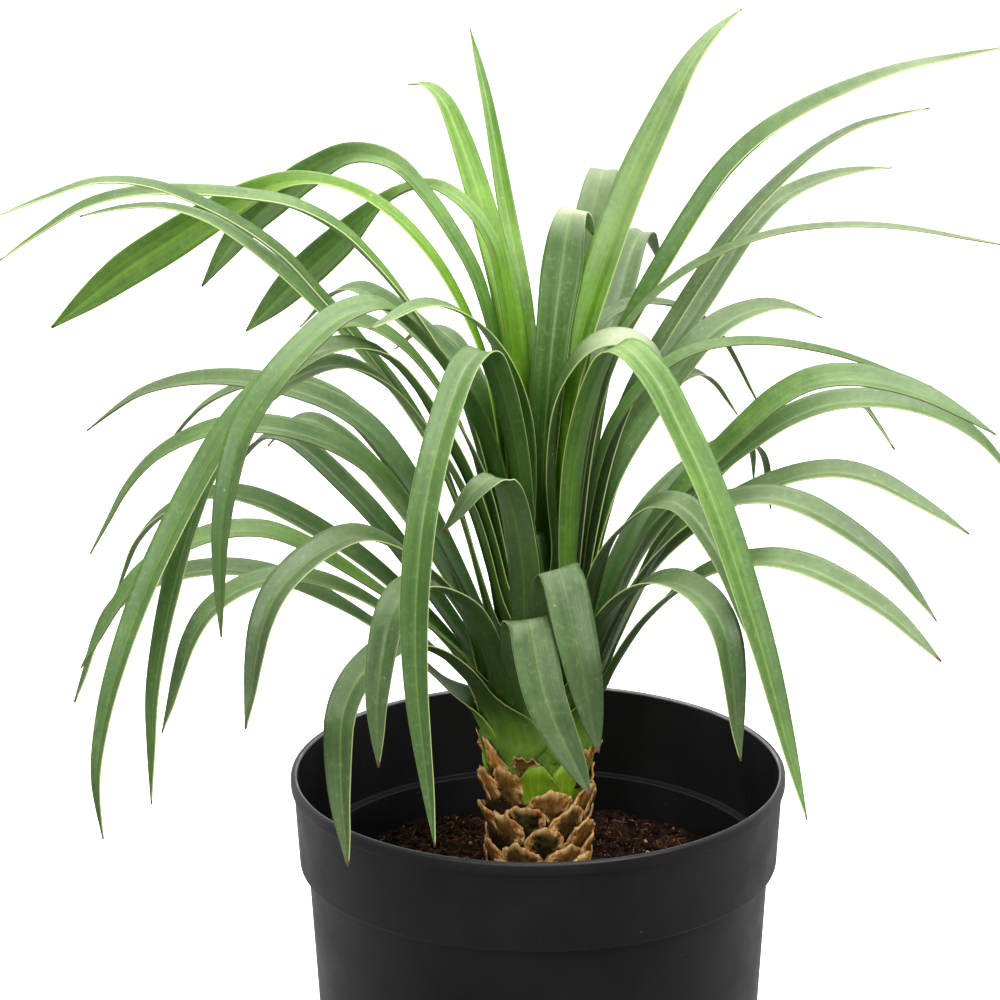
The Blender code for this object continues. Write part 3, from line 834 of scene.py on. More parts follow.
    def build_fibres(self) -> None:
        """Lay fine curved fibres on the bed."""
        pick = random.Random(self.fibre_seed)
        whole = bmesh.new()
        bm = bmesh.new()
        for number in range(self.fibres):
            if number % self.batch == self.batch - 1:
                bm = gather(whole, bm)
            path = self.fibre_path(pick)
            add_strand(bm, path, pick.uniform(*self.fibre_radius) * MM, self.fibre_sides)
        gather(whole, bm).free()
        bmesh.ops.recalc_face_normals(whole, faces=whole.faces)
        finish = PlainFibre("coir_fibre", paint(84, 50, 32), paint(188, 134, 92), 300.0)
        add_piece("coir_fibres", whole, [finish.make()])

    def fibre_path(self, pick: random.Random) -> list[Vector]:
        """Let a fibre wander over the bed.

        Args:
            pick: Source of chance.

        Returns:
            The points that it follows.
        """
        spot = self.spread(pick, self.fibre_margins)
        heading = pick.uniform(0, 2 * math.pi)
        bend = pick.uniform(*self.fibre_bend)
        step = pick.uniform(*self.fibre_step) * MM
        path = []
        for _ in range(self.fibre_points):
            lift = pick.uniform(*self.fibre_lift) * MM
            path.append(Vector((spot.x, spot.y, self.height(spot.x, spot.y) + lift)))
            ahead = spot + Vector((math.cos(heading), math.sin(heading), 0)) * step
            if self.hole + MM < ahead.length < self.reach - 3 * MM:
                spot = ahead
            heading += bend + pick.uniform(*self.fibre_waver)
        return path


def add_strand(bm: bmesh.types.BMesh, path: Sequence[Vector], radius: float, sides: int) -> None:
    """Add a fine round strand that follows a path and tapers at both ends.

    Args:
        bm: Mesh that gets it.
        path: The points it follows.
        radius: Its radius in the middle.
        sides: How many sides it has.
    """
    made = bmesh.ops.create_grid(bm, x_segments=sides, y_segments=len(path) - 1, size=1.0)["verts"]
    last = len(path) - 1
    for vertex in made:
        ring = round((vertex.co.y + 1) / 2 * last)
        turn = math.pi * (vertex.co.x + 1)
        along = (path[min(ring + 1, last)] - path[max(ring - 1, 0)]).normalized()
        side = along.cross(Vector((0, 0, 1))).normalized()
        rise = side.cross(along)
        taper = radius * (0.35 + 0.65 * math.sin(math.pi * ring / last))
        vertex.co = path[ring] + (side * math.cos(turn) + rise * math.sin(turn)) * taper
    bmesh.ops.remove_doubles(bm, verts=made, dist=MERGE)


@dataclass
class StemPlate:
    """One plate on the stem, such as a dry scale or a cut base.

    Its heading is in degrees from +X and its lengths are in mm. stand is how far its tip stands off its
    foot, arch and point shape its top, skew tips the top to one side and tuck draws its sides in. curl,
    ragged and bulge shape the lip, its edge and the dome below it, and weathered is how dark its middle is.
    """
    heading: float
    foot: float
    top: float
    half_width: float
    foot_radius: float
    stand: float
    arch: float = 4.0
    point: float = 2.0
    curl: float = 0.8
    ragged: float = 0.7
    waist: float = 0.85
    tuck: float = 2.0
    weathered: float = 1.0
    skew: float = 0.0
    bulge: float = 2.2
    cells: tuple[int, int] = (16, 14)
    least_radius: float = 8.0

    def surface(self, across: float, up: float) -> Vector:
        """A point on the plate.

        Args:
            across: Place across it, -1 to 1.
            up: Place up it, 0 to 1.

        Returns:
            The point.
        """
        seed = Vector((self.heading * 0.37, self.top * 0.21, 0.0))
        rough = noise.noise(seed + Vector((across * 1.7, up * 1.5, 0)))
        jag = noise.noise(seed + Vector((across * 3.1, 7.1, up)))
        tooth = noise.noise(seed + Vector((across * 9.0, 3.7, up)))
        ridge = noise.noise(seed + Vector((across * 5.0, up * 0.8, 5.3)))
        height = self.foot + (self.top - self.foot) * up
        height -= (self.arch * abs(across) ** self.point - self.skew * across) * up
        height += self.ragged * (jag * 3.2 + tooth * 1.3 + rough) * ease(up, 0.5, 1.0)
        width = self.half_width * (self.waist + (1 - self.waist) * math.sin(math.pi * min(1.0, up * 0.9)))
        radius = self.foot_radius + self.stand * up ** 2 - self.tuck * across * across * (0.4 + 0.6 * up)
        radius += self.bulge * (1 - across * across) * math.sin(math.pi * up ** 3)
        lip = self.curl * ease(up, 0.82, 1.0) * (1.2 + 2 * jag)
        radius += lip + 1.5 * (rough + ridge) * self.ragged * up
        turn = math.radians(self.heading) + across * width / max(self.foot_radius, self.least_radius)
        return around(turn, radius * MM, height * MM)

    def add_to(self, bm: bmesh.types.BMesh) -> None:
        """Add the plate to a mesh, with its own map across and along and how weathered it is.

        Args:
            bm: The mesh.
        """
        uv = bm.loops.layers.uv.verify()
        worn = bm.verts.layers.float.get(WEATHERED) or bm.verts.layers.float.new(WEATHERED)
        columns, rows = self.cells
        made = bmesh.ops.create_grid(bm, x_segments=columns, y_segments=rows, size=1.0)["verts"]
        faces = {face for vertex in made for face in vertex.link_faces}
        for face in faces:
            for loop in face.loops:
                loop[uv].uv = ((loop.vert.co.x + 1) / 2, (loop.vert.co.y + 1) / 2)
        for vertex in made:
            vertex[worn] = self.weathered
            vertex.co = self.surface(vertex.co.x, (vertex.co.y + 1) / 2)


def add_plates(name: str, plates: Sequence[StemPlate], finishes: Sequence[bpy.types.Material],
               wall: float) -> None:
    """Make one piece of a set of plates.

    Args:
        name: The piece's name.
        plates: The plates.
        finishes: Material of their faces and, where there is a second one, of their edges.
        wall: Their thickness in metres.
    """
    bm = bmesh.new()
    for plate in plates:
        plate.add_to(bm)
    thicken(add_piece(name, bm, finishes), wall, -1.0, 0, len(finishes) - 1)


@dataclass
class Stump:
    """The dry stem: a dark core covered in staggered rows of cut leaf bases."""
    radius: float = 24 * MM
    top: float = 206 * MM
    foot: float = 86.3 * MM
    core_steps: int = 64
    row_tops: tuple[float, ...] = (161.0, 170.5, 180.0, 190.0, 200.0, 208.5)
    in_row: int = 7
    front: float = 277.0
    front_sector: float = 75.0
    front_above: float = 185.0
    height: float = 24.0
    wall: float = 1.0 * MM
    seed: int = 17

    def build(self) -> None:
        """Build the core and the scales."""
        core = turned([(0.0, self.foot), (self.radius - MM, self.foot),
                       (self.radius - MM, self.top - 2 * MM), (self.radius - 4 * MM, self.top),
                       (0.0, self.top)], self.core_steps)
        bark = PlainFibre("stump_core", paint(20, 13, 8), paint(58, 36, 20))
        add_piece("stump_core", core, [bark.make()], ["trunk"])
        lip = PlainFibre("dry_lip", paint(112, 66, 32), paint(250, 206, 140), 190.0)
        add_plates("stump_scales", self.front_plates() + self.plates(), [DeadScale().make(), lip.make()],
                   self.wall)

    def front_plates(self) -> list[StemPlate]:
        """The scales seen from the front, each with its own heading, top and look."""
        return [
            StemPlate(277, 165, 189.5, 11.4, 22.4, 4.0, arch=10, curl=0.2, ragged=0.4, tuck=3.0),
            StemPlate(232, 170, 195.0, 11.0, 23.2, 4.4, arch=8, point=2.6, curl=0.6, ragged=0.8,
                      weathered=0.8, tuck=3.0),
            StemPlate(255, 175, 200.5, 11.6, 23.4, 4.2, arch=8, point=3.2, tuck=3.0),
            StemPlate(305, 174, 199.5, 11.6, 23.4, 4.4, arch=9, point=1.8, curl=1.0, ragged=0.8,
                      weathered=0.9, tuck=3.0, skew=2.2),
            StemPlate(283, 184, 209.0, 12.0, 23.6, 4.0, arch=9, ragged=0.8, weathered=0.7, tuck=3.0),
            StemPlate(236, 190, 219.0, 10.4, 24.2, 3.8, arch=8, point=2.4, curl=0.6, ragged=1.0,
                      weathered=0.75, tuck=2.6, skew=-1.5),
            StemPlate(204, 172, 197.0, 10.4, 23.4, 4.4, arch=8, curl=1.4, ragged=1.0, weathered=0.8),
            StemPlate(207, 190, 215.0, 9.4, 23.8, 4.0, arch=7, curl=1.6, ragged=1.1, weathered=0.5),
            StemPlate(323, 165, 190.5, 10.4, 23.4, 4.6, arch=9, curl=1.4, ragged=1.0, weathered=0.6),
            StemPlate(330, 183, 208.5, 9.6, 23.8, 4.2, arch=9, curl=1.4, ragged=1.1, weathered=0.6),
        ]

    def plates(self) -> list[StemPlate]:
        """The other scales, row by row, a little uneven."""
        pick = random.Random(self.seed)
        made = []
        for row, level in enumerate(self.row_tops):
            for number in range(self.in_row):
                place = number + 0.5 * ((row + 1) % 2)
                heading = self.front + 360 / self.in_row * place + pick.uniform(-5, 5)
                top = level + pick.uniform(-2.0, 2.0)
                away = abs((heading - 270 + 180) % 360 - 180)
                if level > self.front_above and away < self.front_sector:
                    continue
                made.append(StemPlate(
                    heading=heading, foot=top - self.height, top=top,
                    half_width=11.4 + pick.uniform(-1, 0.6), foot_radius=22.2 + row * 0.25,
                    stand=3.4 + pick.uniform(-0.5, 0.8), arch=8.5 + pick.uniform(-2, 1.5),
                    point=pick.uniform(1.8, 2.8), curl=pick.uniform(0.3, 1.3), ragged=pick.uniform(0.6, 1.1),
                    weathered=pick.uniform(0.5, 1.0), tuck=2.8, skew=pick.uniform(-1.5, 1.5)))
        return made


@dataclass
class Crown:
    """The green top of the stem: a cone, fresh cut bases, torn dry rims and shreds."""
    foot_radius: float = 22 * MM
    foot: float = 206.3 * MM
    shoulder_radius: float = 26 * MM
    shoulder: float = 229 * MM
    top_radius: float = 3.5 * MM
    top: float = 329.7 * MM
    cone_steps: int = 72
    base_wall: float = 1.3 * MM
    rim_wall: float = 0.6 * MM
    back_plates: int = 6
    base_seed: int = 23
    rim_seed: int = 29

    def build(self) -> None:
        """Build the cone and the plates on it."""
        cone = turned([(0.0, self.foot), (self.foot_radius, self.foot),
                       (self.shoulder_radius, self.shoulder), (self.top_radius, self.top),
                       (0.0, self.top)], self.cone_steps)
        green = FreshBase().make()
        hidden = FreshBase(green=paint(52, 84, 24), light=paint(72, 108, 34), deep=paint(34, 60, 18),
                           name="crown_heart", edged=False)
        add_piece("crown_core", cone, [hidden.make()], ["crown"])
        add_plates("cut_bases", self.fresh_plates(), [green], self.base_wall)
        lip = PlainFibre("torn_lip", paint(150, 108, 70), paint(236, 206, 166), 260.0)
        add_plates("torn_rims", self.torn_plates(), [DeadScale().make(), lip.make()],
                   self.rim_wall)

    def fresh_plates(self) -> list[StemPlate]:
        """Green bases low on the crown, the bright cut one to the front."""
        pick = random.Random(self.base_seed)
        made = [
            StemPlate(268, 200, 222.8, 11.4, 24.8, 3.6, arch=9.5, point=2.2, curl=0.0, ragged=0.05,
                      waist=0.5, tuck=1.6),
            StemPlate(304, 197, 226, 12.5, 24.2, 2.4, arch=12, point=1.1, curl=0.0, ragged=0.1, waist=0.6),
            StemPlate(216, 199, 230, 8.5, 24.4, 2.6, arch=8, point=1.4, curl=0.2, ragged=0.2, waist=0.8),
        ]
        for number in range(self.back_plates):
            heading = 342 + 38 * number + pick.uniform(-5, 5)
            top = 219 + pick.uniform(-2, 3)
            made.append(StemPlate(heading, top - 22, top, 11.0, 23.2, 3.0, arch=9, point=1.6, curl=0.0,
                                  ragged=0.3, waist=0.7))
        return made

    def torn_plates(self) -> list[StemPlate]:
        """Dry torn rims and shreds at the foot of the green bases."""
        pick = random.Random(self.rim_seed)
        made = [
            StemPlate(223, 206, 231, 8.0, 26.4, 3.2, arch=5, point=1.3, curl=1.4, ragged=1.2, weathered=0.1,
                      skew=-5.0),
            StemPlate(257, 212, 226.8, 7.4, 26.6, 3.4, arch=3.5, curl=1.6, ragged=1.2, weathered=0.8,
                      bulge=0.6),
            StemPlate(326, 206, 227, 7.5, 25.2, 3.0, arch=6, point=1.5, curl=1.4, ragged=1.4, weathered=0.4),
            StemPlate(203, 236, 249, 3.0, 26.0, 3.4, curl=2.0, ragged=1.3, weathered=0.0),
            StemPlate(336, 234, 247, 3.0, 26.0, 3.4, curl=2.0, ragged=1.3, weathered=0.0),
            StemPlate(338, 214, 226, 3.6, 26.0, 3.2, curl=2.0, ragged=1.6, weathered=0.2),
        ]
        for number in range(self.back_plates):
            heading = 20 + 30 * number + pick.uniform(-6, 6)
            top = 222 + pick.uniform(-4, 7)
            made.append(StemPlate(heading, top - 15, top, pick.uniform(3.5, 8), 24.8, 2.8, arch=5,
                                  curl=1.4, ragged=1.5, weathered=pick.uniform(0, 0.8)))
        return made


class LeafAge(Enum):
    """Ages of the leaves, which set their green."""
    YOUNG = "young"
    GROWN = "grown"
    OLD = "old"
    GREYED = "greyed"


@dataclass(frozen=True)
class LeafTone:
    """How one age of leaf is tinted.

    green is its green, base its base's extra green, base_reach the share of its length that this reaches,
    bloom its bloom and dry_tip the length of its dry tip in mm.
    """
    green: float
    base: float
    base_reach: float
    bloom: float
    dry_tip: float


TONES: dict[LeafAge, LeafTone] = {
    LeafAge.YOUNG: LeafTone(0.80, 0.20, 0.55, 0.04, 2.0),
    LeafAge.GROWN: LeafTone(0.46, 0.14, 0.34, 0.10, 3.0),
    LeafAge.OLD: LeafTone(0.24, 0.12, 0.28, 0.14, 4.0),
    LeafAge.GREYED: LeafTone(0.26, 0.12, 0.24, 0.17, 5.0),
}

AGES: dict[LeafAge, tuple[int, ...]] = {
    LeafAge.YOUNG: (14, 27, 32, 35, 36),
    LeafAge.OLD: (3, 4, 5, 8, 9, 10, 11, 18, 38, 39, 40, 24, 20, 53, 54, 52),
    LeafAge.GREYED: (12, 41, 43, 46, 47, 48, 50, 51),
}


@dataclass(frozen=True)
class LeafHabit:
    """How one leaf departs from the common blade.

    turn is how many degrees its outer part turns its face to the front, arch and outer are how wide those
    parts are, pale is how strongly its end is painted pale as a sheen, pale_from where that starts, seat how
    far out in mm its base sits on the stem and fold how much deeper its lower part is channelled.
    """
    turn: float = 0.0
    arch: float = 1.0
    outer: float = 1.0
    pale: float = 0.0
    pale_from: float = 0.6
    seat: float | None = None
    fold: float = 1.0
    arch_from: Span = (0.12, 0.34)
    outer_from: Span = (0.56, 0.76)
    extra_from: Span = (0.66, 0.92)
    turned_extra: float = 0.95

    def width(self, share: float) -> float:
        """Width as a part of the common blade's. A blade that turns its face is broader near its end.

        Args:
            share: Share of the leaf's length from its root.

        Returns:
            The width.
        """
        arch = 1 + (self.arch - 1) * ease(share, *self.arch_from)
        outer = self.outer * (1 + (self.turned_extra if self.turn else 0.0) * ease(share, *self.extra_from))
        return arch + (outer - arch) * ease(share, *self.outer_from)


HABITS: dict[int, LeafHabit] = {
    3: LeafHabit(seat=-1.3), 8: LeafHabit(seat=0.6), 10: LeafHabit(seat=-0.2), 38: LeafHabit(seat=0.5),
    12: LeafHabit(pale=0.45), 13: LeafHabit(outer=1.25, pale=1.0, pale_from=0.78, fold=1.6),
    14: LeafHabit(pale=0.30, pale_from=0.5, fold=2.4), 15: LeafHabit(turn=60, arch=0.55, outer=0.85),
    21: LeafHabit(arch=0.66, outer=0.62), 23: LeafHabit(arch=0.66, outer=0.62),
    25: LeafHabit(arch=0.7, outer=0.62), 27: LeafHabit(turn=76, arch=0.5, outer=1.0),
    29: LeafHabit(arch=0.85, outer=0.8), 32: LeafHabit(turn=78, arch=0.55, outer=1.0),
    41: LeafHabit(arch=0.7, outer=0.62, pale=0.15), 42: LeafHabit(arch=0.8, outer=0.75),
    43: LeafHabit(arch=0.7, outer=0.62), 44: LeafHabit(arch=0.75, outer=0.7, pale=0.15, fold=1.7),
    49: LeafHabit(pale=0.25), 50: LeafHabit(arch=0.8, outer=0.7),
}


def age_of(number: int) -> LeafAge:
    """Age of a leaf by its number."""
    for age, numbers in AGES.items():
        if number in numbers:
            return age
    return LeafAge.GROWN


@dataclass
class BladeLine:
    """One line across a blade: its midrib point, unit side, half width and the way from midrib to edges."""
    mid: Vector
    side: Vector
    half: float
    rise: Vector


def between(values: Sequence[float | Vector], place: float) -> float | Vector:
    """Read a smooth curve through values.

    Args:
        values: The values at the places 0, 1, 2 and so on.
        place: The place to read.

    Returns:
        The value there.
    """
    last = len(values) - 1
    index = min(last - 1, max(0, int(place)))
    share = place - index
    a, b = values[max(0, index - 1)], values[index]
    c, d = values[index + 1], values[min(last, index + 2)]
    return 0.5 * ((2 * b) + (c - a) * share + (2 * a - 5 * b + 4 * c - d) * share ** 2
                  + (3 * b - a - 3 * c + d) * share ** 3)


class LeafCourse:
    """The smooth course of a packed blade, read at places from 0 at its root to last at its tip."""
    look: float = 0.05
    fold_look: float = 0.6
    fold_turn: Span = (0.012, 0.045)

    def __init__(self, lines: Sequence[BladeLine], tip_half: float) -> None:
        """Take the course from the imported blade's lines.

        Args:
            lines: Lines from the root to the tip.
            tip_half: Half the tip's width.
        """
        self.mids = [line.mid for line in lines]
        self.sides = [line.side for line in lines]
        self.halves = [line.half for line in lines[:-1]] + [tip_half]
        self.depths = [line.rise.length for line in lines]
        self.last = len(lines) - 1
        self.length = sum((b - a).length for a, b in zip(self.mids, self.mids[1:]))
        self.opening = self.opening_of(lines)
        self.sense = self.front_sense(lines)

    @staticmethod
    def opening_of(lines: Sequence[BladeLine]) -> float:
        """Tell to which side the channel opens.

        Args:
            lines: Lines from the root to the tip.

        Returns:
            1 if it opens to the way that side x course points, -1 if it opens to the other.
        """
        total = 0.0
        for before, line, after in zip(lines, lines[1:], lines[2:]):
            total += line.side.cross(after.mid - before.mid).normalized().dot(line.rise)
        return 1.0 if total > 0 else -1.0

    def front_sense(self, lines: Sequence[BladeLine]) -> float:
        """Tell which way the outer blade has to turn about its course to show its channelled face.

        Args:
            lines: Lines from the root to the tip.

        Returns:
            1 if a turn in the positive sense brings that face to the front, else -1.
        """
        index = round(0.7 * self.last)
        way = (lines[index + 1].mid - lines[index - 1].mid).normalized()
        rise = lines[index].side.cross(way) * self.opening
        return 1.0 if way.cross(rise).y < 0 else -1.0

    def way(self, place: float) -> Vector:
        """Unit way that the midrib runs at a place."""
        ahead = between(self.mids, min(self.last, place + self.look))
        return (ahead - between(self.mids, max(0.0, place - self.look))).normalized()

    def folded(self, place: float) -> float:
        """Tell how sharply the blade arches over.

        Args:
            place: Place on the course, 0 at the root to last at the tip.

        Returns:
            How sharply, 0 to 1.
        """
        here = between(self.mids, place)
        before = here - between(self.mids, max(0.0, place - self.fold_look))
        after = between(self.mids, min(self.last, place + self.fold_look)) - here
        return ease(before.angle(after, 0.0) / max(before.length + after.length, MM) * MM, *self.fold_turn)


@dataclass(frozen=True)
class LeafTint:
    """What the leaf finish reads from each point of one leaf.

    lightness and rib are drawn for the leaf, length is its length and low is 1 where it grows from the foot
    of the crown, 0 where it grows from higher up.
    """
    tone: LeafTone
    habit: LeafHabit
    lightness: float
    rib: float
    length: float
    low: float
    heart_green: float = 0.90
    heart_reach: Span = (2 * MM, 38 * MM)
    tip_fade: float = 0.10
    tip_bloom: float = 0.10
    # level_sheen is the strength of the painted sheen on level parts of the blade.
    level_sheen: float = 0.24
    pale_reach: float = 0.12
    root_reach: Span = (6 * MM, 46 * MM)

    def marks(self, share: float, course: Vector) -> dict[str, float]:
        """Give the numbers of a point.

        Args:
            share: Share of the leaf's length from its root.
            course: Unit way that the midrib runs there.

        Returns:
            The numbers by name.
        """
        tone, habit = self.tone, self.habit
        gone = share * self.length
        green = tone.green + tone.base * (1 - ease(share, 0.0, tone.base_reach))
        green -= self.tip_fade * ease(share, 0.6, 1.0)
        green += (self.heart_green - green) * (1 - ease(gone, *self.heart_reach)) * self.low
        # Painted sheen: level parts of the blade, which face the light from above, get more of the pale
        # bloom colour.
        level = (1 - abs(course.z)) * ease(share, 0.12, 0.35)
        bloom = tone.bloom * ease(share, 0.1, 0.6) + self.tip_bloom * ease(share, 0.7, 1.0)
        bloom += self.level_sheen * level
        # Painted sheen: the end of some leaves is made pale.
        pale = habit.pale * ease(share, habit.pale_from, habit.pale_from + self.pale_reach)
        dry = ease(self.length - gone, tone.dry_tip * 0.4 * MM, (tone.dry_tip + 3.0) * MM)
        return {"age": green + self.lightness, "bloom": bloom + pale, "dry": 1 - dry,
                "rib": self.rib * ease(share, 0.05, 0.25), "root": 1 - ease(gone, *self.root_reach),
                "edge": ease(self.rib, 0.35, 0.55)}


@dataclass
class BladeSpot:
    """The line across a blade on which a point lies, with the unit way its channel opens and its depth."""
    mid: Vector
    side: Vector
    rise: Vector
    half: float
    depth: float


@dataclass
class LeafBlade:
    """A finer blade on the course of a packed one."""
    number: int
    across: int = 10
    along: int = 72
    thickness: float = 0.62 * MM
    heart: float = 35 * MM
    ring_points: int = 6
    slender: float = 2.4 * MM
    twist_reach: Span = (0.56, 0.76)
    flattening: float = 0.8
    clasp: float = 42 * MM
    clasp_half: float = 24 * MM
    clasp_turn: float = math.radians(46)
    skirt: float = 20 * MM
    skirt_power: float = 0.85
    skirt_rows: int = 8
    shoulder: float = 229 * MM
    shoulder_radius: float = 27 * MM
    neck: float = 206 * MM
    neck_radius: float = 23.6 * MM
    cone_slope: float = 0.233
    tucked: float = 0.35
    root_radius: float = 25 * MM
    least_root: float = 4 * MM
    shift: float = 0.0
    tip_half: float = 0.25 * MM
    wave: float = 0.5 * MM
    low_roots: Span = (240 * MM, 275 * MM)
    marks: tuple[str, ...] = ("age", "bloom", "dry", "rib", "root", "edge")

    @property
    def node(self) -> str:
        """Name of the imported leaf."""
        return f"leaf_{self.number:02d}"

    @property
    def habit(self) -> LeafHabit:
        """How this leaf departs from the common blade."""
        return HABITS.get(self.number, LeafHabit())

    def read_lines(self) -> list[BladeLine]:
        """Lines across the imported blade, from its root to its tip."""
        bm = bmesh.new()
        bm.from_mesh(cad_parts[self.node].data)
        bmesh.ops.remove_doubles(bm, verts=bm.verts, dist=MERGE)
        bm.verts.index_update()
        inner = sorted((v for v in bm.verts if v.co.xy.length < self.heart), key=lambda v: v.co.z)
        ring = inner[:self.ring_points]
        seen, rings = set(ring), []
        while ring:
            rings.append([v.co.copy() for v in ring])
            ahead = {edge.other_vert(v) for v in ring for edge in v.link_edges} - seen
            seen |= ahead
            ring = sorted(ahead, key=lambda v: v.index)
        bm.free()
        lines: list[BladeLine] = []
        for points in rings:
            lines.append(self.line_of(points, lines[-1] if lines else None))
        return lines

    def line_of(self, points: list[Vector], before: BladeLine | None) -> BladeLine:
        """Turn the six points of a ring into one line.

        Args:
            points: The ring's points.
            before: The line before it, which settles left and right.

        Returns:
            The line.
        """
        pairs = [(a, b) for i, a in enumerate(points) for b in points[i + 1:]]
        first, second = max(pairs, key=lambda pair: (pair[0] - pair[1]).length)
        slender = (second - first).length < self.slender
        side = before.side if before is not None and slender else (second - first).normalized()
        middle = sum(points, Vector()) / len(points)
        points = sorted(points, key=lambda point: (point - middle).dot(side))
        left, mid, right = ((points[i] + points[i + 1]) / 2 for i in (0, 2, 4))
        if not slender:
            side = (right - left).normalized()
        if before is not None and side.dot(before.side) < 0:
            side = -side
        return BladeLine(mid, side, (right - left).length / 2, (left + right) / 2 - mid)

    def build(self, finishes: Sequence[bpy.types.Material]) -> bpy.types.Object:
        """Build the blade and dress it.

        Args:
            finishes: Materials of the upper side, the underside and the margin.

        Returns:
            The leaf.
        """
        course = LeafCourse(self.read_lines(), self.tip_half)
        root = course.mids[0]
        self.root_radius = root.xy.length
        pick = random.Random(self.number)
        lightness = pick.uniform(-0.15, 0.13)
        rib = pick.uniform(0.25, 1.0)
        self.shift = (pick.uniform(-0.5, 0.5) if self.habit.seat is None else self.habit.seat) * MM
        low = 1 - ease(root.z, *self.low_roots)
        tint = LeafTint(TONES[age_of(self.number)], self.habit, lightness, rib, course.length, low)
        bm = bmesh.new()
        uv = bm.loops.layers.uv.new(UV_NAME)
        layers = {name: bm.verts.layers.float.new(name) for name in self.marks}
        rows = self.along + self.skirt_rows
        bmesh.ops.create_grid(bm, x_segments=self.across, y_segments=rows, size=1.0)
        for face in bm.faces:
            for loop in face.loops:
                along = ((loop.vert.co.y + 1) / 2 * rows - self.skirt_rows) / self.along
                loop[uv].uv = ((loop.vert.co.x + 1) / 2, along)
        for vertex in bm.verts:
            row = (vertex.co.y + 1) / 2 * rows - self.skirt_rows
            share = max(0.0, row / self.along)
            way = course.way(share * course.last)
            below = max(0.0, -row / self.skirt_rows)
            spot = self.spot(course, share, way, below)
            vertex.co = self.point(spot, vertex.co.x, share * course.length, below)
            for name, value in tint.marks(share, way).items():
                vertex[layers[name]] = value
        leaf = add_piece(f"blade_{self.number:02d}", bm, finishes, [self.node])
        if course.opening < 0:
            leaf.data.flip_normals()
        thicken(leaf, self.thickness, 0.0, 1, 2)
        return leaf

    def spot(self, course: LeafCourse, share: float, way: Vector, below: float) -> BladeSpot:
        """Give the line across the blade at a share of its length.

        Args:
            course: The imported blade's course.
            share: Share of the length from the root.
            way: Unit way that the midrib runs there.
            below: How far down its foot the line lies, 0 to 1.

        Returns:
            The line.
        """
        place = share * course.last
        mid = between(course.mids, place)
        side = between(course.sides, place).normalized()
        rise = side.cross(way).normalized() * course.opening
        half = max(self.tip_half, between(course.halves, place) * self.habit.width(share))
        if self.habit.turn:
            turn = math.radians(self.habit.turn) * course.sense * ease(share, *self.twist_reach)
            twist = Matrix.Rotation(turn, 3, way)
            side, rise = twist @ side, twist @ rise
        depth = between(course.depths, place) * (1 - self.flattening * course.folded(place))
        depth *= 1 + (self.habit.fold - 1) * ease(share, 0.1, 0.3) * (1 - ease(share, 0.6, 0.82))
        return BladeSpot(self.skirt_point(mid, below) if below else mid, side, rise, half, depth)

    def crown_radius(self, height: float) -> float:
        """Radius of the crown's surface at a height."""
        if height >= self.shoulder:
            return self.shoulder_radius - self.cone_slope * (height - self.shoulder)
        return self.neck_radius + (self.shoulder_radius - self.neck_radius) * (
            max(0.0, height - self.neck) / (self.shoulder - self.neck))

    def skirt_point(self, root: Vector, below: float) -> Vector:
        """Middle of a base below its root.

        Args:
            root: The root.
            below: How far down, 0 at the root to 1 at the foot.

        Returns:
            The point.
        """
        height = root.z - self.skirt * below
        change = self.crown_radius(height) - self.crown_radius(root.z)
        radius = root.xy.length + change * (self.tucked if change > 0 else 1.0)
        return around(math.atan2(root.y, root.x), radius, height)

    def point(self, spot: BladeSpot, across: float, gone: float, below: float) -> Vector:
        """A point of the blade: on its open part as channelled, and at its base wrapped round the stem.

        Args:
            spot: The line on which it lies.
            across: Place across the blade, -1 to 1.
            gone: Length of blade from the root.
            below: How far down its foot the point lies, 0 to 1.

        Returns:
            The point.
        """
        mid, side, half = spot.mid, spot.side, spot.half
        bend = 1.15 * abs(across) ** 1.25 - 0.15 * across ** 4
        hold = 1 - ease(gone, 0.0, self.clasp)
        if hold <= 0:
            seed = Vector((self.number * 3.1, gone * 28, across * 0.5))
            wave = noise.noise(seed) * self.wave * ease(gone, 30 * MM, 90 * MM) * abs(across)
            wide = half * (1 + 0.03 * noise.noise(seed * 1.3))
            return mid + side * (across * wide) + spot.rise * (spot.depth * bend + wave)
        root = max(self.root_radius, self.least_root)
        clasp = min(self.clasp_half, root * self.clasp_turn)
        wanted = half + (max(clasp, half) - half) * hold ** 1.3
        wanted *= max(0.02, 1 - below) ** self.skirt_power
        heading = math.atan2(mid.y, mid.x)
        sense = 1.0 if side.dot(Vector((-math.sin(heading), math.cos(heading), 0))) > 0 else -1.0
        turn = across * wanted / root
        radius = (root if below == 0 else mid.xy.length) + self.shift
        reach = radius + (mid.xy.length - radius) * math.cos(turn) ** 2 if below == 0 else radius
        wrapped = around(heading + sense * turn, reach, mid.z)
        flat = mid + side * (across * wanted) + spot.rise * (spot.depth * bend)
        return flat.lerp(wrapped, ease(hold, 0.0, 0.7))


@dataclass
class Foliage:
    """The head of leaves."""
    count: int = 56

    def build(self) -> None:
        """Build every leaf."""
        finish = LeafFinish()
        finishes = [finish.make(side) for side in LeafSide]
        for number in range(1, self.count + 1):
            LeafBlade(number).build(finishes)


@dataclass(frozen=True)
class SoftLight:
    """A square light that points at the plant: its place, its side in metres and its power in watts."""
    name: str
    place: tuple[float, float, float]
    side: float
    power: float


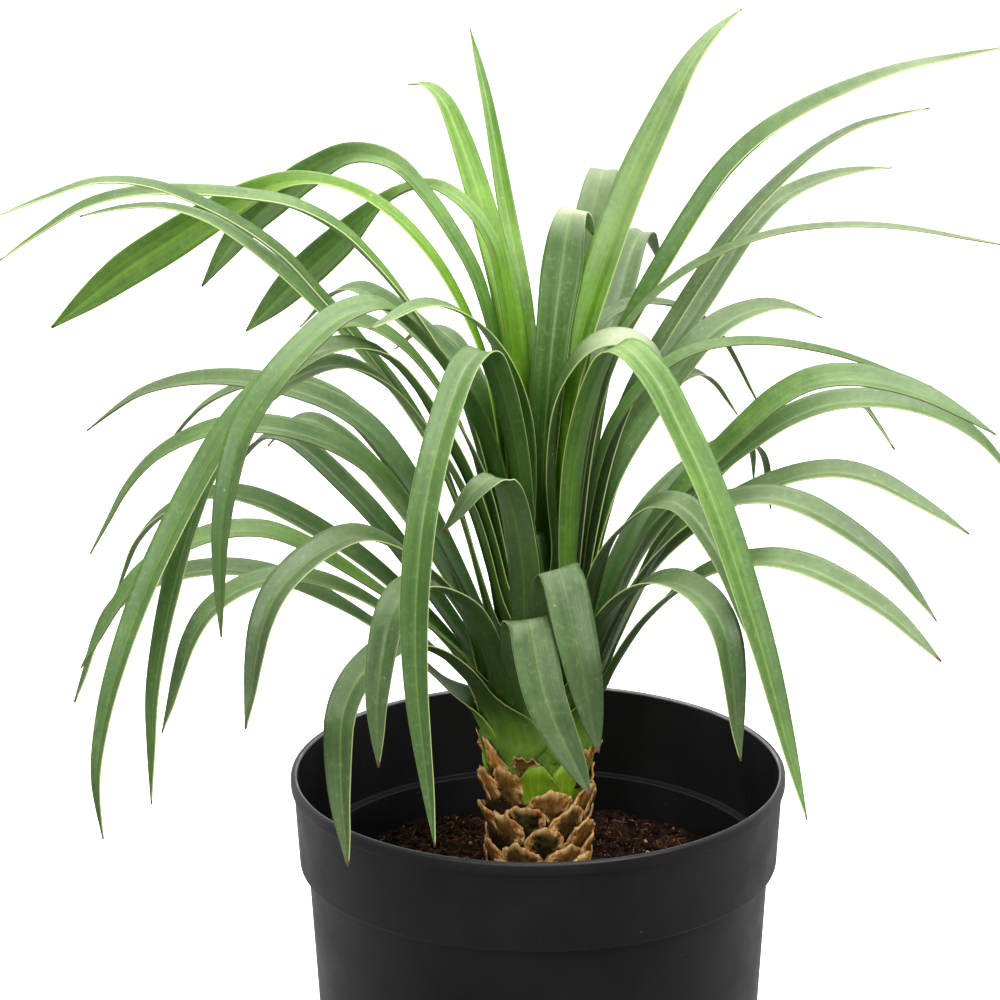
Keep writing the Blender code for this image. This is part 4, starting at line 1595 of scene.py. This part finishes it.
@dataclass
class Studio:
    """Pale floor, soft lights and the camera.

    sky_rise gives the sky's brightness from one height of the view to another, and sky_depth from the
    front to the back, each as the two directions and then the two brightnesses.
    """
    camera_place: tuple[float, float, float] = (-0.0176, -1.7240, 0.8828)
    pitch: float = math.radians(17.28)
    roll: float = math.radians(-0.35)
    lens: float = 136.8
    sensor: float = 36.0
    far: float = 200.0
    floor_size: float = 60.0
    floor_colour: Colour = grey(0.92)
    floor_glow: float = 0.35
    sky_rise: tuple[float, float, float, float] = (-0.4, 0.3, 0.50, 1.0)
    sky_depth: tuple[float, float, float, float] = (-0.7, 0.4, 0.45, 1.25)
    sky_seen: float = 1.0
    lights: tuple[SoftLight, ...] = (SoftLight("key", (1.2, -1.2, 1.9), 1.0, 14.0),
                                     SoftLight("front", (-0.45, -1.7, 0.95), 0.5, 13.0),
                                     SoftLight("top", (0.0, 0.3, 2.2), 1.4, 22.0))
    aim: tuple[float, float, float] = (0.0, 0.0, 0.3)
    sun_power: float = 1.5
    sun_spread: float = math.radians(40)
    sun_way: tuple[float, float, float] = (-0.35, 0.45, -1.0)

    def build(self) -> None:
        """Build the stage."""
        self.build_floor()
        self.build_sky()
        self.add_sun()
        for light in self.lights:
            self.add_light(light)
        self.add_camera()

    def build_floor(self) -> None:
        """Lay a wide pale floor, which sends no light back on to the plant."""
        bm = bmesh.new()
        bmesh.ops.create_grid(bm, x_segments=1, y_segments=1, size=self.floor_size)
        mesh = bpy.data.meshes.new("floor")
        bm.to_mesh(mesh)
        bm.free()
        floor = bpy.data.objects.new("floor", mesh)
        bpy.context.scene.collection.objects.link(floor)
        sheet = FinishSheet("floor_white")
        sheet.plain({"Base Color": self.floor_colour, "Roughness": 0.9, "Specular IOR Level": 0.1,
                     "Emission Color": grey(1.0), "Emission Strength": self.floor_glow})
        mesh.materials.append(sheet.material)
        floor.visible_diffuse = False
        floor.visible_glossy = False

    def build_sky(self) -> None:
        """Light the scene from all round, less from below and the front, behind a plain pale backdrop."""
        world = bpy.data.worlds.new("studio")
        bpy.context.scene.world = world
        world.use_nodes = True
        nodes, links = world.node_tree.nodes, world.node_tree.links
        way = nodes.new("ShaderNodeSeparateXYZ")
        links.new(nodes.new("ShaderNodeTexCoord").outputs["Generated"], way.inputs["Vector"])
        both = nodes.new("ShaderNodeMath")
        both.operation = "MULTIPLY"
        links.new(self.graded(world, way.outputs["Z"], self.sky_rise), both.inputs[0])
        links.new(self.graded(world, way.outputs["Y"], self.sky_depth), both.inputs[1])
        seen = nodes.new("ShaderNodeMix")
        links.new(nodes.new("ShaderNodeLightPath").outputs["Is Camera Ray"], seen.inputs["Factor"])
        links.new(both.outputs[0], seen.inputs["A"])
        seen.inputs["B"].default_value = self.sky_seen
        background = nodes["Background"]
        background.inputs["Color"].default_value = grey(1.0)
        links.new(seen.outputs["Result"], background.inputs["Strength"])

    @staticmethod
    def graded(world: bpy.types.World, value: Socket, numbers: Sequence[float]) -> Socket:
        """Map a range of directions to a range of brightness.

        Args:
            world: The world that gets the node.
            value: One axis of the direction.
            numbers: The two directions and the brightness at each.

        Returns:
            The brightness.
        """
        node = world.node_tree.nodes.new("ShaderNodeMapRange")
        world.node_tree.links.new(value, node.inputs["Value"])
        for name, number in zip(("From Min", "From Max", "To Min", "To Max"), numbers):
            node.inputs[name].default_value = number
        return node.outputs["Result"]

    def add_sun(self) -> None:
        """Add a wide soft light from the upper right."""
        data = bpy.data.lights.new("sun", "SUN")
        data.energy = self.sun_power
        data.angle = self.sun_spread
        sun = bpy.data.objects.new("sun", data)
        sun.rotation_euler = Vector(self.sun_way).to_track_quat("-Z", "Y").to_euler()
        bpy.context.scene.collection.objects.link(sun)

    def add_light(self, light: SoftLight) -> None:
        """Add a square soft light that points at the plant.

        Args:
            light: The light.
        """
        data = bpy.data.lights.new(light.name, "AREA")
        data.size = light.side
        data.energy = light.power
        lamp = bpy.data.objects.new(light.name, data)
        lamp.location = light.place
        aim = Vector(self.aim) - Vector(light.place)
        lamp.rotation_euler = aim.to_track_quat("-Z", "Y").to_euler()
        bpy.context.scene.collection.objects.link(lamp)

    def add_camera(self) -> None:
        """Stand the camera where the plant is seen from."""
        data = bpy.data.cameras.new("camera")
        data.lens = self.lens
        data.sensor_width = self.sensor
        data.clip_end = self.far
        camera = bpy.data.objects.new("camera", data)
        turn = Matrix.Rotation(math.radians(90) - self.pitch, 4, "X") @ Matrix.Rotation(self.roll, 4, "Z")
        camera.matrix_world = Matrix.Translation(self.camera_place) @ turn
        bpy.context.scene.collection.objects.link(camera)
        bpy.context.scene.camera = camera


def main() -> None:
    """Build the plant piece by piece, then the stage."""
    logging.basicConfig(level=logging.INFO, format="%(message)s")
    bpy.context.scene.view_settings.view_transform = "Standard"
    bpy.context.scene.view_settings.look = "Medium High Contrast"
    for part in (NurseryPot(), SoilBed(), Stump(), Crown(), Foliage(), Studio()):
        part.build()


if __name__ == "__main__":
    main()
